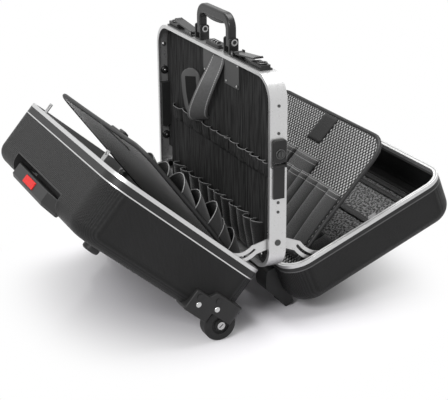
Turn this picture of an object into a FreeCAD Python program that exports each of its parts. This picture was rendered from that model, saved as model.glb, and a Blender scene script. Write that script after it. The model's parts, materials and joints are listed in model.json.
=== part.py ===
import FreeCAD, Part
import math
import os

V = FreeCAD.Vector
os.makedirs("parts", exist_ok=True)

# The case stands open on its base wheels and lid feet. X runs along the hinges, the base lies
# towards -Y and the lid towards +Y. Shell pieces are drawn closed, then turned open.
case_width = 480.0
case_height = 348.0
corner_radius = 46.0
overrun = 5.0
seat_gap = 0.2
joint_gap = 0.4

# Centre frame and the board in it
frame_depth = 32.0
frame_web = 2.5
frame_flange = 6.5
board_thick = 5.0
board_recess = 20.0
board_notch_gap = 0.3
board_notch_below = 23.0
board_notch_above = 35.0

# Hinges between the frame and the shells
hinge_drop = 5.0
hinge_line_gap = 1.0
knuckle_radius = 3.5
leaf_thick = 1.5
leaf_reach = 15.0
leaf_half = 27.0
knuckle_middle_half = 10.0
knuckle_gap = 0.4
hinge_inset = 130.0
hinge_pin_radius = 1.6
hinge_bore_gap = 0.05

# Opened angles from the frame
base_open_degrees = 49.0
lid_open_degrees = 68.0

# Base and lid shells
shell_wall = 3.5
base_depth = 120.0
base_back_radius = 25.0
lid_depth = 92.0
lid_back_radius = 30.0
rim_width = 8.0
rim_edge = 6.5
base_rim_height = 21.0
lid_rim_height = 16.0
rim_lower_edge = 2.0
groove_depth = 1.5

# Slotted stay arms
stay_pivot_height = 57.0
stay_bar_half = 9.0
stay_thick = 2.0
stay_slot_half = 2.6
stay_pin_radius = 2.4
stay_head_radius = 5.5
stay_head_thick = 1.8
stay_pivot_radius = 3.0
stay_rim_gap = 1.0
stay_spacing = 1.5
base_stay_ratio = 1.3
lid_stay_ratio = 1.0
base_pin_along = 95.0
base_pin_depth = 12.0
lid_pin_along = 98.0
lid_pin_depth = 21.0
stay_steps = 8
stay_slot_spare_degrees = 3.0

# Wheels and their housings
wheel_radius = 29.0
wheel_width = 25.0
wheel_along = 25.0
wheel_back_inset = 7.0
wheel_proud = 3.0
wheel_edge = 4.0
tread_thick = 8.0
hub_dish_radius = 16.0
hub_dish = 3.0
axle_radius = 4.0
axle_cap_radius = 7.0
axle_cap_thick = 2.5
well_gap = 3.0
well_wall = 5.0
fender_skin = 4.0
fender_round = 3.0
housing_corner_round = 20.0
housing_bend = 9.0
housing_along = 108.0
housing_step_along = 70.0
housing_reach = 51.0
housing_middle_reach = 38.0
fender_end_reach = 16.0
housing_proud = 3.0
housing_screw_radius = 5.0
housing_screw_height = 1.5
high_screw_along = 96.0
high_screw_reach = 29.0
low_screw_along = 60.0
low_screw_reach = 40.0

# Feet
foot_width = 40.0
foot_inset = 86.0
foot_round = 5.0
foot_start = 20.0
foot_drop = 10.0
foot_heel_drop = 16.0
foot_peak_drop = 31.0
foot_peak_depth = 50.0
foot_peak_round = 18.0
foot_toe = 12.0
base_foot_radius = 15.0
base_foot_height = 12.0
base_foot_drop = 63.0
base_foot_inset = 54.0
base_foot_edge = 4.0

# Telescopic handle in the base
grip_half = 118.0
grip_flat_half = 82.0
grip_height = 16.0
grip_end_height = 8.0
grip_reach = 22.0
grip_proud = 4.0
grip_edge = 5.0
recess_side_gap = 2.5
recess_wall = 2.5
recess_front_gap = 11.0
recess_drop = 34.0
tube_place = 92.0
tube_reach = 16.0
tube_half = 8.0
tube_step = 1.5
tube_wall = 1.2
tube_hole_gap = 0.3
tube_low = 44.0
tube_stop = 2.0
button_half = 26.0
button_along_half = 7.0
button_rise = 1.5
button_body = 8.0
button_travel = 3.0
floor_reach = 30.0
floor_thick = 2.0

# Catches
catch_width = 12.0
catch_thick = 1.5
catch_rise = 19.0
catch_foot = 15.0
catch_hole_radius = 3.0
catch_inset = 90.0
side_catch_length = 12.0
side_catch_drop = 163.0
side_catch_rise = 5.0

# Flaps
flap_thick = 5.0
flap_side_gap = 26.0
base_flap_short = 32.0
lid_flap_short = 58.0
flap_corner = 41.0
flap_pivot_along = 18.0
flap_pivot_depth = 25.0
base_flap_raise_degrees = 13.0
lid_flap_raise_degrees = 25.0
flap_rod_radius = 2.5
flap_sleeve_radius = 5.0
flap_bore_gap = 0.08
loops_low = 36.0
loops_side_inset = 22.0
loops_end_inset = 80.0
loops_thick = 18.0
lid_pockets_low = 24.0
lid_pockets_side_inset = 18.0
lid_pockets_end_inset = 94.0
lid_pockets_thick = 13.0
soft_round = 6.0

# Carry handle
handle_half = 69.0
handle_leg = 17.0
handle_depth = 15.0
handle_rise = 69.0
handle_bar = 18.0
handle_corner = 27.0
handle_inner_corner = 11.0
handle_edge = 4.0
handle_pivot_height = 21.0
handle_leg_end = 8.0
handle_pin_radius = 3.0
handle_bore_gap = 0.05
handle_cap_radius = 6.0
handle_cap_thick = 2.5
bracket_height = 28.0
bracket_wall = 3.0
bracket_depth = 18.0
grip_pad_half = 40.0
grip_pad_thick = 4.0
grip_pad_round = 3.0

# Top latches
latch_half_depth = 12.0
latch_handle_gap = 13.0
latch_lever_share = 0.68
latch_plate = 2.5
latch_block_length = 40.0
latch_block_height = 6.0
latch_block_half = 9.0
latch_lever_thick = 2.5
latch_lever_half = 9.5
latch_pivot_inset = 6.0
latch_pivot_height = 6.5
latch_ear = 2.0
latch_ear_half = 4.0
latch_pin_radius = 1.5
latch_knuckle_radius = 3.0
latch_bore_gap = 0.05
latch_rest_gap = 3.4

# Number lock between the handle legs
lock_half = 27.0
lock_half_depth = 9.0
lock_height = 7.0
dial_radius = 4.6
dial_centre_height = 4.9
dial_width = 5.0
dial_pitch = 9.0
dial_side_gap = 0.5
dial_pin_radius = 1.5
dial_bore_gap = 0.05

# Side locks on the frame
side_lock_half_depth = 13.0
side_lock_drop = 146.0
side_lock_length = 40.0
side_lock_thick = 7.0
side_lock_round = 5.0
key_radius = 5.5
key_proud = 2.0
key_sunk = 5.0
key_rise = 16.0
key_slot_width = 1.4
key_slot_depth = 2.0
key_bore_gap = 0.05
side_lever_thick = 3.5
side_lever_length = 58.0
side_lever_gap = 6.0
side_knuckle_radius = 3.0
side_pin_radius = 1.4
side_ear_half = 2.5
side_bore_gap = 0.05
lock_case_thick = 11.0
lock_case_length = 88.0
lock_case_above = 24.0

# Soft pieces and small fittings on the board and in the lid
strap_half = 19.0
strap_top_x = 9.0
strap_top_drop = 18.0
strap_fall = 130.0
strap_run = 61.0
strap_thick = 3.0
tab_side = 101.0
tab_top_drop = 68.0
tab_length = 85.0
tab_half = 17.0
tab_thick = 2.5
plate_thick = 2.0
plate_top_drop = 14.0
plate_round = 3.0
small_plate_x = -33.0
small_plate_half = 28.0
small_plate_height = 44.0
large_plate_x = 58.0
large_plate_half = 29.0
large_plate_height = 47.0
plate_rivet_radius = 2.0
plate_rivet_inset = 5.0
middle_row_low = 160.0
middle_row_high = 188.0
middle_row_inset = 36.0
middle_row_thick = 7.0
lower_row_low = 8.0
lower_row_high = 72.0
lower_row_inset = 56.0
lower_row_thick = 15.0
corner_cap_inset = 35.0
corner_cap_z = 24.0
corner_cap_radius = 15.0
corner_cap_rise = 17.0
cap_screw_radius = 3.0
cap_screw_height = 1.5
cap_screw_spread = 6.0
rivet_radius = 2.6
rivet_height = 1.0
rivet_height_shares = (0.325, 0.374, 0.724, 0.859)
felt_low = 38.0
felt_side_inset = 34.0
felt_top_inset = 30.0
felt_thick = 4.0
sack_low = 42.0
sack_side_inset = 8.0
sack_high = 150.0
sack_thick = 16.0

half_width = case_width / 2
front_y = -frame_depth / 2
rear_y = frame_depth / 2
board_y = front_y + board_recess
base_axis_y = front_y - hinge_line_gap
lid_axis_y = rear_y + hinge_line_gap
axis_z = -hinge_drop
inner_x = half_width - frame_web
wheel_outer_face = half_width + wheel_proud
wheel_inner_face = wheel_outer_face - wheel_width
housing_inner_x = wheel_inner_face - well_gap - well_wall
housing_outer_x = wheel_outer_face + joint_gap + fender_skin
flap_half = half_width - rim_width - flap_side_gap
base_flap_length = case_height - base_flap_short
lid_flap_length = case_height - lid_flap_short
grip_depth = base_depth - grip_reach
tube_depth = base_depth - tube_reach
recess_low = case_height - recess_drop
latch_inner = handle_half + latch_handle_gap
latch_length = half_width - corner_radius - latch_inner
latch_pivot_x = latch_inner + latch_pivot_inset
latch_pivot_z = case_height + latch_pivot_height
side_lock_low = case_height - side_lock_drop
side_lever_pivot = side_lock_low - side_lever_gap
side_pivot_x = half_width + side_knuckle_radius + joint_gap
key_height = side_lock_low + key_rise
dial_centre_z = case_height + dial_centre_height

base_arm_x1 = half_width - rim_width - stay_rim_gap
base_arm_x0 = base_arm_x1 - stay_thick
lid_arm_x1 = base_arm_x0 - stay_spacing
lid_arm_x0 = lid_arm_x1 - stay_thick
stay_stud_end = lid_arm_x0 - joint_gap
stay_head_x = stay_stud_end - stay_head_thick

nodes = {}


def block(x0, x1, y0, y1, z0, z1):
    return Part.makeBox(x1 - x0, y1 - y0, z1 - z0, V(x0, y0, z0))


def both_sides(*shapes):
    """Pieces at +X with their mirror images at -X."""
    pieces = []
    for shape in shapes:
        pieces += [shape, shape.mirror(V(0, 0, 0), V(1, 0, 0))]
    return pieces


def edges_along(shape, direction):
    """Straight edges that run along one axis."""
    found = []
    for edge in shape.Edges:
        run = edge.Vertexes[-1].Point - edge.Vertexes[0].Point
        if edge.Curve.TypeId == "Part::GeomLine" and run.cross(direction).Length < seat_gap:
            found.append(edge)
    return found


def rounded_block(x0, x1, y0, y1, z0, z1, radius, direction=V(0, 1, 0)):
    """A box whose four edges along one axis are rounded."""
    box = block(x0, x1, y0, y1, z0, z1)
    return box.makeFillet(radius, edges_along(box, direction))


def edges_in_plane(shape, axis, place):
    """Edges that lie wholly in a plane square to one axis."""
    found = []
    for edge in shape.Edges:
        box = edge.BoundBox
        low = (box.XMin, box.YMin, box.ZMin)[axis]
        high = (box.XMax, box.YMax, box.ZMax)[axis]
        if abs(low - place) < seat_gap and abs(high - place) < seat_gap:
            found.append(edge)
    return found


def rod(radius, start, end):
    """A round bar between two points."""
    run = end - start
    return Part.makeCylinder(radius, run.Length, start, run)


def x_rod(radius, x0, x1, y, z):
    """A round bar along X."""
    return rod(radius, V(x0, y, z), V(x1, y, z))


def y_rod(radius, x, y0, y1, z):
    """A round bar along Y."""
    return rod(radius, V(x, y0, z), V(x, y1, z))


def side_prism(points, x0, x1):
    """An outline of (y, z) points carried along X."""
    corners = [V(x0, y, z) for y, z in points]
    return Part.Face(Part.makePolygon(corners + corners[:1])).extrude(V(x1 - x0, 0, 0))


def front_prism(points, y0, y1):
    """An outline of (x, z) points carried along Y."""
    corners = [V(x, y0, z) for x, z in points]
    return Part.Face(Part.makePolygon(corners + corners[:1])).extrude(V(0, y1 - y0, 0))


def turned(shape, y, z, degrees):
    """A copy turned about the X direction through (y, z)."""
    moved = shape.copy()
    moved.rotate(V(0, y, z), V(1, 0, 0), degrees)
    return moved


def turned_point(point, centre, degrees):
    """A (y, z) point turned as turned() turns a shape."""
    c = math.cos(math.radians(degrees))
    s = math.sin(math.radians(degrees))
    y, z = point[0] - centre[0], point[1] - centre[1]
    return centre[0] + y * c - z * s, centre[1] + y * s + z * c


def keep(name, shapes, *turns):
    """Stores a node's solids, turned in order by each (y, z, degrees)."""
    solids = []
    for shape in shapes if isinstance(shapes, (list, tuple)) else [shapes]:
        for y, z, degrees in turns:
            shape = turned(shape, y, z, degrees)
        solids.extend(shape.Solids)
    nodes[name] = solids


def base_y(depth):
    """Y of a depth below the base rim, closed."""
    return base_axis_y - depth


def lid_y(depth):
    """Y of a depth below the lid rim, closed."""
    return lid_axis_y + depth


def up(along):
    """Z of a distance along a shell from its hinge axis, closed."""
    return axis_z + along


base_turn = (base_axis_y, axis_z, base_open_degrees)
lid_turn = (lid_axis_y, axis_z, -lid_open_degrees)
base_flap_turn = (base_y(flap_pivot_depth), up(flap_pivot_along), -base_flap_raise_degrees)
lid_flap_turn = (lid_y(flap_pivot_depth), up(flap_pivot_along), lid_flap_raise_degrees)
wheel_y, wheel_z = base_y(base_depth - wheel_back_inset), up(wheel_along)
wheel_floor_z = turned_point((wheel_y, wheel_z), (base_axis_y, axis_z), base_open_degrees)[1] - wheel_radius


def case_block(inset, y0, y1):
    """The case's rounded outline, drawn in by inset, between two places along Y."""
    reach = half_width - inset
    y0, y1 = sorted((y0, y1))
    return rounded_block(-reach, reach, y0, y1, inset, case_height - inset, corner_radius - inset)


def case_ring(inset, y0, y1, width):
    """A ring that follows the case's outline."""
    y0, y1 = sorted((y0, y1))
    return case_block(inset, y0, y1).cut(case_block(inset + width, y0 - overrun, y1 + overrun))


def tub(inset, open_y, back_y, back_radius):
    """The case's outline with the edges of its back face rounded."""
    body = case_block(inset, open_y, back_y)
    return body.makeFillet(back_radius, edges_in_plane(body, 1, back_y))


def frame_pieces():
    band = case_block(0, front_y, rear_y)
    band = band.cut(case_block(frame_flange, front_y - overrun, rear_y + overrun))
    band = band.cut(case_block(frame_web, front_y + frame_web, rear_y - frame_web))
    keep("frame_band", band)
    board = case_block(frame_web + seat_gap, board_y, board_y + board_thick)
    notch = block(stay_head_x - board_notch_gap, half_width, front_y, rear_y,
                  stay_pivot_height - board_notch_below, stay_pivot_height + board_notch_above)
    for side in both_sides(notch):
        board = board.cut(side)
    keep("tool_board", board)
    cap_y = board_y - corner_cap_rise
    corner_cap_x = half_width - corner_cap_inset
    cap = y_rod(corner_cap_radius, corner_cap_x, cap_y, board_y, corner_cap_z)
    cap = cap.makeFillet(cap_screw_height, edges_in_plane(cap, 1, cap_y))
    for x in (corner_cap_x - cap_screw_spread, corner_cap_x + cap_screw_spread):
        cap = cap.fuse(y_rod(cap_screw_radius, x, cap_y - cap_screw_height, cap_y, corner_cap_z))
    keep("frame_corner_caps", both_sides(cap))
    case_top = side_lock_low + lock_case_above
    case = block(inner_x - lock_case_thick, inner_x, front_y + frame_web + seat_gap, board_y,
                 case_top - lock_case_length, case_top)
    keep("lock_cases", both_sides(case))


def board_plate(x, half, height):
    """A thin cover plate behind the carry handle, with a rivet near its lower corner."""
    high = case_height - plate_top_drop
    low = high - height
    plate = rounded_block(x - half, x + half, board_y - plate_thick, board_y, low, high, plate_round)
    rivet = y_rod(plate_rivet_radius, x + half - plate_rivet_inset, board_y - plate_thick * 2,
                  board_y - plate_thick, low + plate_rivet_inset)
    return plate.fuse(rivet)


def board_pieces():
    """The strap, the stitched tab, the cover plates and the pocket rows on the board's front."""
    strap_top = case_height - strap_top_drop
    strap_end, strap_end_x = strap_top - strap_fall, strap_top_x - strap_run
    strap = front_prism([(strap_top_x - strap_half, strap_top), (strap_top_x + strap_half, strap_top),
                         (strap_end_x + strap_half, strap_end), (strap_end_x - strap_half, strap_end)],
                        board_y - strap_thick, board_y)
    tab_x, tab_top = strap_top_x - tab_side, case_height - tab_top_drop
    shoulder = tab_top - tab_half
    tab = front_prism([(tab_x - tab_half, shoulder), (tab_x, tab_top), (tab_x + tab_half, shoulder),
                       (tab_x, tab_top - tab_length)], board_y - tab_thick, board_y)
    small_plate = board_plate(small_plate_x, small_plate_half, small_plate_height)
    large_plate = board_plate(large_plate_x, large_plate_half, large_plate_height)
    keep("board_straps", [strap.cut(small_plate), tab])
    keep("board_plates", [small_plate, large_plate])
    middle_half, lower_half = half_width - middle_row_inset, half_width - lower_row_inset
    keep("board_pockets", [
        rounded_block(-middle_half, middle_half, board_y - middle_row_thick, board_y, middle_row_low,
                      middle_row_high, soft_round),
        rounded_block(-lower_half, lower_half, board_y - lower_row_thick, board_y, lower_row_low,
                      lower_row_high, soft_round)])


def shell_pieces(name, axis_y, side, depth, back_radius, rim_height, shell_turn, cutters):
    """A shell, the aluminium rim on it and the dark band in the rim's groove."""
    def y(d):
        return axis_y + side * d

    shell = tub(0, y(0), y(depth), back_radius)
    shell = shell.cut(tub(shell_wall, y(-overrun), y(depth - shell_wall), back_radius - shell_wall))
    shell = shell.cut(case_block(-overrun, y(-overrun), y(rim_height)))
    for cutter in cutters:
        shell = shell.cut(cutter)
    keep(name + "_shell", shell, shell_turn)
    groove_start, groove_end = y(rim_edge), y(rim_height - rim_lower_edge)
    ring = case_ring(0, y(0), y(rim_height), rim_width)
    ring = ring.cut(case_ring(-overrun, groove_start, groove_end, overrun + groove_depth))
    keep(name + "_rim", ring, shell_turn)
    band = case_ring(seat_gap, groove_start, groove_end, groove_depth - seat_gap)
    keep(name + "_rim_band", band, shell_turn)


def housing_block():
    """The outside of a wheel housing: a wavy plate over the shell's corner, closed."""
    deep = base_y(base_depth + housing_proud)
    shallow, middle = base_y(base_depth - housing_reach), base_y(base_depth - housing_middle_reach)
    step, high = up(housing_step_along), up(housing_along)
    outline = [(shallow, -housing_proud), (shallow, step), (middle, step + housing_bend), (middle, high),
               (deep, high), (deep, -housing_proud)]
    body = side_prism(outline, housing_inner_x, housing_outer_x)
    bends = [e for e in edges_along(body, V(1, 0, 0)) if e.CenterOfMass.z > 0]
    body = body.makeFillet(housing_bend / 2, bends)
    low = [e for e in edges_along(body, V(0, 1, 0)) if e.CenterOfMass.z < 0]
    body = body.makeFillet(housing_corner_round, [e for e in low if e.CenterOfMass.x > half_width])
    return body.makeFillet(fender_round, edges_in_plane(body, 0, housing_outer_x))


def wheel_pieces():
    """Housing, tyre, hub and axle of both wheels."""
    well_x0 = wheel_inner_face - well_gap
    well_x1 = wheel_outer_face + joint_gap
    reach = wheel_radius + well_gap
    housing = housing_block()
    housing = housing.cut(x_rod(reach, well_x0, well_x1, wheel_y, wheel_z))
    housing = housing.cut(block(well_x0, well_x1, wheel_y - case_height, wheel_y, wheel_z - case_height,
                                wheel_z + reach))
    housing = housing.cut(block(well_x0, well_x1, wheel_y - reach, wheel_y + reach, wheel_z - case_height,
                                wheel_z))
    fender_end = base_y(base_depth - fender_end_reach)
    housing = housing.cut(block(well_x0, housing_outer_x + overrun, wheel_y - case_height, fender_end,
                                wheel_z - case_height, wheel_z + reach))
    housing = housing.cut(x_rod(axle_radius, housing_inner_x - overrun, well_x0 + overrun, wheel_y, wheel_z))
    tyre = x_rod(wheel_radius, wheel_inner_face, wheel_outer_face, wheel_y, wheel_z)
    tyre = tyre.makeFillet(wheel_edge, edges_in_plane(tyre, 0, wheel_inner_face)
                           + edges_in_plane(tyre, 0, wheel_outer_face))
    hub_radius = wheel_radius - tread_thick
    hub = x_rod(hub_radius, wheel_inner_face, wheel_outer_face, wheel_y, wheel_z)
    tyre = tyre.cut(hub)
    hub = hub.cut(x_rod(axle_radius + hinge_bore_gap, wheel_inner_face - overrun, wheel_outer_face + overrun,
                        wheel_y, wheel_z))
    dish = x_rod(hub_dish_radius, wheel_outer_face - hub_dish, wheel_outer_face + overrun, wheel_y, wheel_z)
    boss = x_rod(axle_cap_radius + hub_dish, wheel_outer_face - hub_dish, wheel_outer_face + overrun,
                 wheel_y, wheel_z)
    hub = hub.cut(dish.cut(boss))
    cap_x = wheel_outer_face + joint_gap
    axle = x_rod(axle_radius, housing_inner_x, cap_x, wheel_y, wheel_z)
    axle_cap = x_rod(axle_cap_radius, cap_x, cap_x + axle_cap_thick, wheel_y, wheel_z)
    axle = axle.fuse(axle_cap).removeSplitter()
    for along, reach in ((high_screw_along, high_screw_reach), (low_screw_along, low_screw_reach)):
        housing = housing.fuse(x_rod(housing_screw_radius, housing_outer_x,
                                     housing_outer_x + housing_screw_height, base_y(base_depth - reach),
                                     up(along)))
    keep("wheel_housings", both_sides(housing), base_turn)
    keep("wheel_axles", both_sides(axle), base_turn)
    for name, piece in zip(("near", "far"), both_sides(tyre)):
        keep(name + "_wheel_tyre", piece, base_turn)
    for name, piece in zip(("near", "far"), both_sides(hub)):
        keep(name + "_wheel_hub", piece, base_turn)


def lid_foot_reach():
    """How deep a lid foot reaches, so that it meets the floor that the wheels stand on."""
    tilt = math.radians(90 - lid_open_degrees)
    low_along = hinge_drop - foot_drop + foot_round
    centre_z = wheel_floor_z + foot_round
    return (axis_z + low_along * math.sin(tilt) - centre_z) / math.cos(tilt) + foot_round


def feet_pieces():
    deep = lid_y(lid_foot_reach())
    inside = half_width - foot_inset - foot_width / 2
    outline = [(lid_y(foot_start), foot_drop), (lid_y(foot_start), -foot_heel_drop),
               (lid_y(foot_peak_depth), -foot_peak_drop), (deep - foot_toe, -foot_drop), (deep, -foot_drop),
               (deep, foot_drop)]
    foot = side_prism(outline, inside, inside + foot_width)
    edges = edges_along(foot, V(1, 0, 0))
    foot = foot.makeFillet(foot_round, [e for e in edges if e.CenterOfMass.z == -foot_heel_drop
                                        or e.CenterOfMass.y > deep - seat_gap])
    peak = [e for e in edges_along(foot, V(1, 0, 0)) if e.CenterOfMass.z < -foot_peak_drop + seat_gap]
    foot = foot.makeFillet(foot_peak_round, peak)
    foot = foot.cut(tub(0, lid_y(0), lid_y(lid_depth), lid_back_radius))
    keep("lid_feet", both_sides(foot), lid_turn)
    back = base_y(base_depth)
    z = case_height - base_foot_drop + axis_z
    pad = y_rod(base_foot_radius, half_width - base_foot_inset, back - base_foot_height, back, z)
    pad = pad.makeFillet(base_foot_edge, edges_in_plane(pad, 1, back - base_foot_height))
    keep("base_feet", both_sides(pad), base_turn)


def square_tube(half, z0, z1):
    """A thin square tube of the telescopic handle, closed."""
    y = base_y(tube_depth)
    outside = block(tube_place - half, tube_place + half, y - half, y + half, z0, z1)
    hole = half - tube_wall
    return outside.cut(block(tube_place - hole, tube_place + hole, y - hole, y + hole, z0 - overrun,
                             z1 + overrun))


def recess_cut(grow):
    """The hollow at the top of the base for the grip, grown outwards by grow."""
    reach = grip_half + recess_side_gap + grow
    shallow = base_y(grip_depth - recess_front_gap - grow)
    return block(-reach, reach, base_y(base_depth + overrun), shallow, up(recess_low) - grow,
                 case_height + overrun)


def base_floor():
    """The false floor over the telescopic tubes, closed."""
    floor_depth = base_depth - floor_reach
    panel = case_block(shell_wall + seat_gap, base_y(floor_depth), base_y(floor_depth + floor_thick))
    panel = panel.cut(recess_cut(0))
    for side in both_sides(housing_block()):
        panel = panel.cut(side)
    return panel


def telescopic_pieces():
    middle_half = tube_half - tube_step
    inner_half = middle_half - tube_step
    floor_z = up(recess_low)
    low_z = up(tube_low)
    y = base_y(tube_depth)
    outside = tub(0, base_y(0), base_y(base_depth), base_back_radius)
    liner = recess_cut(recess_wall).common(outside).cut(recess_cut(0))
    hole = middle_half + tube_hole_gap
    for cut in both_sides(block(tube_place - hole, tube_place + hole, y - hole, y + hole,
                                floor_z - recess_wall - overrun, floor_z + overrun)):
        liner = liner.cut(cut)
    keep("base_floor", base_floor().fuse(liner).removeSplitter(), base_turn)
    keep("outer_tubes", both_sides(square_tube(tube_half, low_z, floor_z - recess_wall)), base_turn)
    keep("middle_tubes", both_sides(square_tube(middle_half, low_z + tube_stop, floor_z)), base_turn)
    grip_z = up(case_height - grip_height)
    inner = square_tube(inner_half, low_z + tube_stop * 2, grip_z)
    keep("inner_tubes", both_sides(inner), base_turn)
    top = case_height + grip_proud
    profile = [(-grip_half, grip_z), (-grip_half, up(case_height - grip_end_height)), (-grip_flat_half, top),
               (grip_flat_half, top), (grip_half, up(case_height - grip_end_height)), (grip_half, grip_z)]
    back = base_y(base_depth + grip_proud - overrun + grip_edge)
    grip = front_prism(profile, back, base_y(grip_depth))
    rear = [e for e in edges_in_plane(grip, 1, back) if e.CenterOfMass.z > grip_z]
    grip = grip.makeChamfer(grip_edge, rear)
    grip = grip.makeFillet(button_rise, edges_in_plane(grip, 1, base_y(grip_depth)))
    centre = (base_y(grip_depth) + back) / 2 + button_rise
    pocket = block(-button_half - joint_gap, button_half + joint_gap,
                   centre - button_along_half - joint_gap, centre + button_along_half + joint_gap,
                   top - button_body - button_travel - joint_gap, top + overrun)
    keep("pull_grip", grip.cut(pocket), base_turn)
    button = rounded_block(-button_half, button_half, centre - button_along_half, centre + button_along_half,
                           top - button_body, top + button_rise, button_rise, V(0, 0, 1))
    button = button.makeFillet(button_rise / 2, edges_in_plane(button, 2, top + button_rise))
    keep("release_button", button, base_turn)


def catch_pieces():
    face = case_height - rim_width
    catch_place = half_width - catch_inset
    tab = block(catch_place - catch_width / 2, catch_place + catch_width / 2, base_y(catch_foot),
                base_y(-catch_rise), face - catch_thick, face)
    hole_y = base_y(catch_width / 2 - catch_rise)
    hole_start, hole_end = V(catch_place, hole_y, face - overrun), V(catch_place, hole_y, face + overrun)
    tab = tab.cut(rod(catch_hole_radius, hole_start, hole_end))
    keep("base_catches", both_sides(tab), base_turn)
    side_face = half_width - rim_width
    low = up(case_height - side_catch_drop)
    hook = block(side_face - catch_thick, side_face, lid_y(-side_catch_rise), lid_y(catch_foot),
                 low, low + side_catch_length)
    keep("lid_catches", both_sides(hook), lid_turn)


def flap(y_of, length):
    """A flap board with a sleeve round its hinge rod, closed and flat in its shell."""
    y = y_of(flap_pivot_depth)
    z = up(flap_pivot_along)
    half_thick = flap_thick / 2
    board = rounded_block(-flap_half, flap_half, y - half_thick, y + half_thick, z - flap_sleeve_radius,
                          z + length, flap_corner)
    board = board.cut(block(-case_width, case_width, y - overrun, y + overrun, z - case_height, z))
    sleeve = x_rod(flap_sleeve_radius, -flap_half, flap_half, y, z)
    bore = x_rod(flap_rod_radius + flap_bore_gap, -case_width, case_width, y, z)
    return board.fuse(sleeve).removeSplitter().cut(bore)


def flap_pieces(stay_pins):
    """The flaps and what is sewn on them, and each shell's flap rod beside its stay pins."""
    for name, y_of, length, flap_turn, shell_turn in (
            ("base", base_y, base_flap_length, base_flap_turn, base_turn),
            ("lid", lid_y, lid_flap_length, lid_flap_turn, lid_turn)):
        keep(name + "_flap", flap(y_of, length), flap_turn, shell_turn)
        bar = x_rod(flap_rod_radius, -half_width, half_width, y_of(flap_pivot_depth), up(flap_pivot_along))
        inside = case_block(shell_wall, y_of(0), y_of(lid_depth - lid_back_radius))
        keep(name + "_rods", [bar.common(inside)] + stay_pins[name], shell_turn)
    z = up(flap_pivot_along)
    face = base_y(flap_pivot_depth - flap_thick / 2)
    half = flap_half - loops_side_inset
    loops = rounded_block(-half, half, face, face + loops_thick, z + loops_low,
                          z + base_flap_length - loops_end_inset, soft_round)
    keep("base_flap_loops", loops, base_flap_turn, base_turn)
    face = lid_y(flap_pivot_depth - flap_thick / 2)
    half = flap_half - lid_pockets_side_inset
    pockets = rounded_block(-half, half, face - lid_pockets_thick, face, z + lid_pockets_low,
                            z + lid_flap_length - lid_pockets_end_inset, soft_round)
    keep("lid_flap_pockets", pockets, lid_flap_turn, lid_turn)


def lid_lining_pieces():
    floor_y = lid_y(lid_depth - shell_wall)
    felt_half = half_width - felt_side_inset
    keep("felt_panel", rounded_block(-felt_half, felt_half, floor_y - felt_thick, floor_y, up(felt_low),
                                     up(case_height - felt_top_inset), corner_radius / 2), lid_turn)
    sack_y = floor_y - felt_thick
    sack_half = felt_half - sack_side_inset
    keep("lid_sack", rounded_block(-sack_half, sack_half, sack_y - sack_thick, sack_y, up(sack_low),
                                   up(sack_high), soft_round), lid_turn)


def hinge_leaf(x0, x1, axis_y, reach_y):
    """A flat leaf under the case, its web and its knuckle round the hinge axis."""
    leaf = block(x0, x1, *sorted((axis_y, reach_y)), -leaf_thick, 0)
    web_y = axis_y + math.copysign(knuckle_radius, reach_y - axis_y)
    web = block(x0, x1, *sorted((axis_y, web_y)), axis_z, 0)
    ring = x_rod(knuckle_radius, x0, x1, axis_y, axis_z)
    return leaf.fuse([web, ring])


def hinge_pieces():
    """Two leaf hinges under each joint line, with the middle knuckle and its pin on the frame."""
    hinge_place = half_width - hinge_inset
    x0, x1 = hinge_place - knuckle_middle_half, hinge_place + knuckle_middle_half
    start, end = hinge_place - leaf_half, hinge_place + leaf_half
    frame_leaves = []
    for name, axis_y, side, shell_turn in (("base", base_axis_y, -1, base_turn),
                                           ("lid", lid_axis_y, 1, lid_turn)):
        pin = x_rod(hinge_pin_radius, start, end, axis_y, axis_z)
        leaf = hinge_leaf(x0, x1, axis_y, axis_y - side * leaf_reach)
        frame_leaves.append(leaf.fuse(pin).removeSplitter())
        bore = x_rod(hinge_pin_radius + hinge_bore_gap, start - overrun, end + overrun, axis_y, axis_z)
        reach_y = axis_y + side * leaf_reach
        shell_leaves = [hinge_leaf(start, x0 - knuckle_gap, axis_y, reach_y),
                        hinge_leaf(x1 + knuckle_gap, end, axis_y, reach_y)]
        shell_leaves = [leaf.removeSplitter().cut(bore) for leaf in shell_leaves]
        keep(name + "_hinge_leaves", both_sides(*shell_leaves), shell_turn)
    keep("frame_hinge_leaves", both_sides(*frame_leaves))


def stay_trace(pin, axis, open_sign, closing, ratio, spare):
    """Where the shell's pin runs in the arm's own frame, as (y, z) points of the open pose."""
    pivot = (0, stay_pivot_height)
    points = []
    for step in range(stay_steps + 1):
        close = -spare + (closing + spare * 2) * step / stay_steps
        carried = turned_point(pin, axis, -open_sign * close)
        points.append(turned_point(carried, pivot, open_sign * ratio * close))
    return points


def side_points(points, offset):
    """Points set off to one side of a line of (y, z) points."""
    moved = []
    for i, (y, z) in enumerate(points):
        before, after = points[max(i - 1, 0)], points[min(i + 1, len(points) - 1)]
        dy, dz = after[0] - before[0], after[1] - before[1]
        size = math.hypot(dy, dz)
        moved.append((y - dz / size * offset, z + dy / size * offset))
    return moved


def arc_edges(points, x):
    """Arcs through each three points in a row."""
    spots = [V(x, y, z) for y, z in points]
    return [Part.Arc(*spots[i:i + 3]).toShape() for i in range(0, len(spots) - 2, 2)]


def curved_bar(points, half, x0, x1):
    """A flat bar with round ends along a curve, half wide to each side."""
    left = side_points(points, half)
    right = side_points(points, -half)[::-1]
    edges = arc_edges(left, x0)
    edges.append(Part.makeLine(V(x0, *left[-1]), V(x0, *right[0])))
    edges += arc_edges(right, x0)
    edges.append(Part.makeLine(V(x0, *right[-1]), V(x0, *left[0])))
    bar = Part.Face(Part.Wire(edges)).extrude(V(x1 - x0, 0, 0))
    ends = [x_rod(half, x0, x1, *points[0]), x_rod(half, x0, x1, *points[-1])]
    return bar.fuse(ends)


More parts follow.
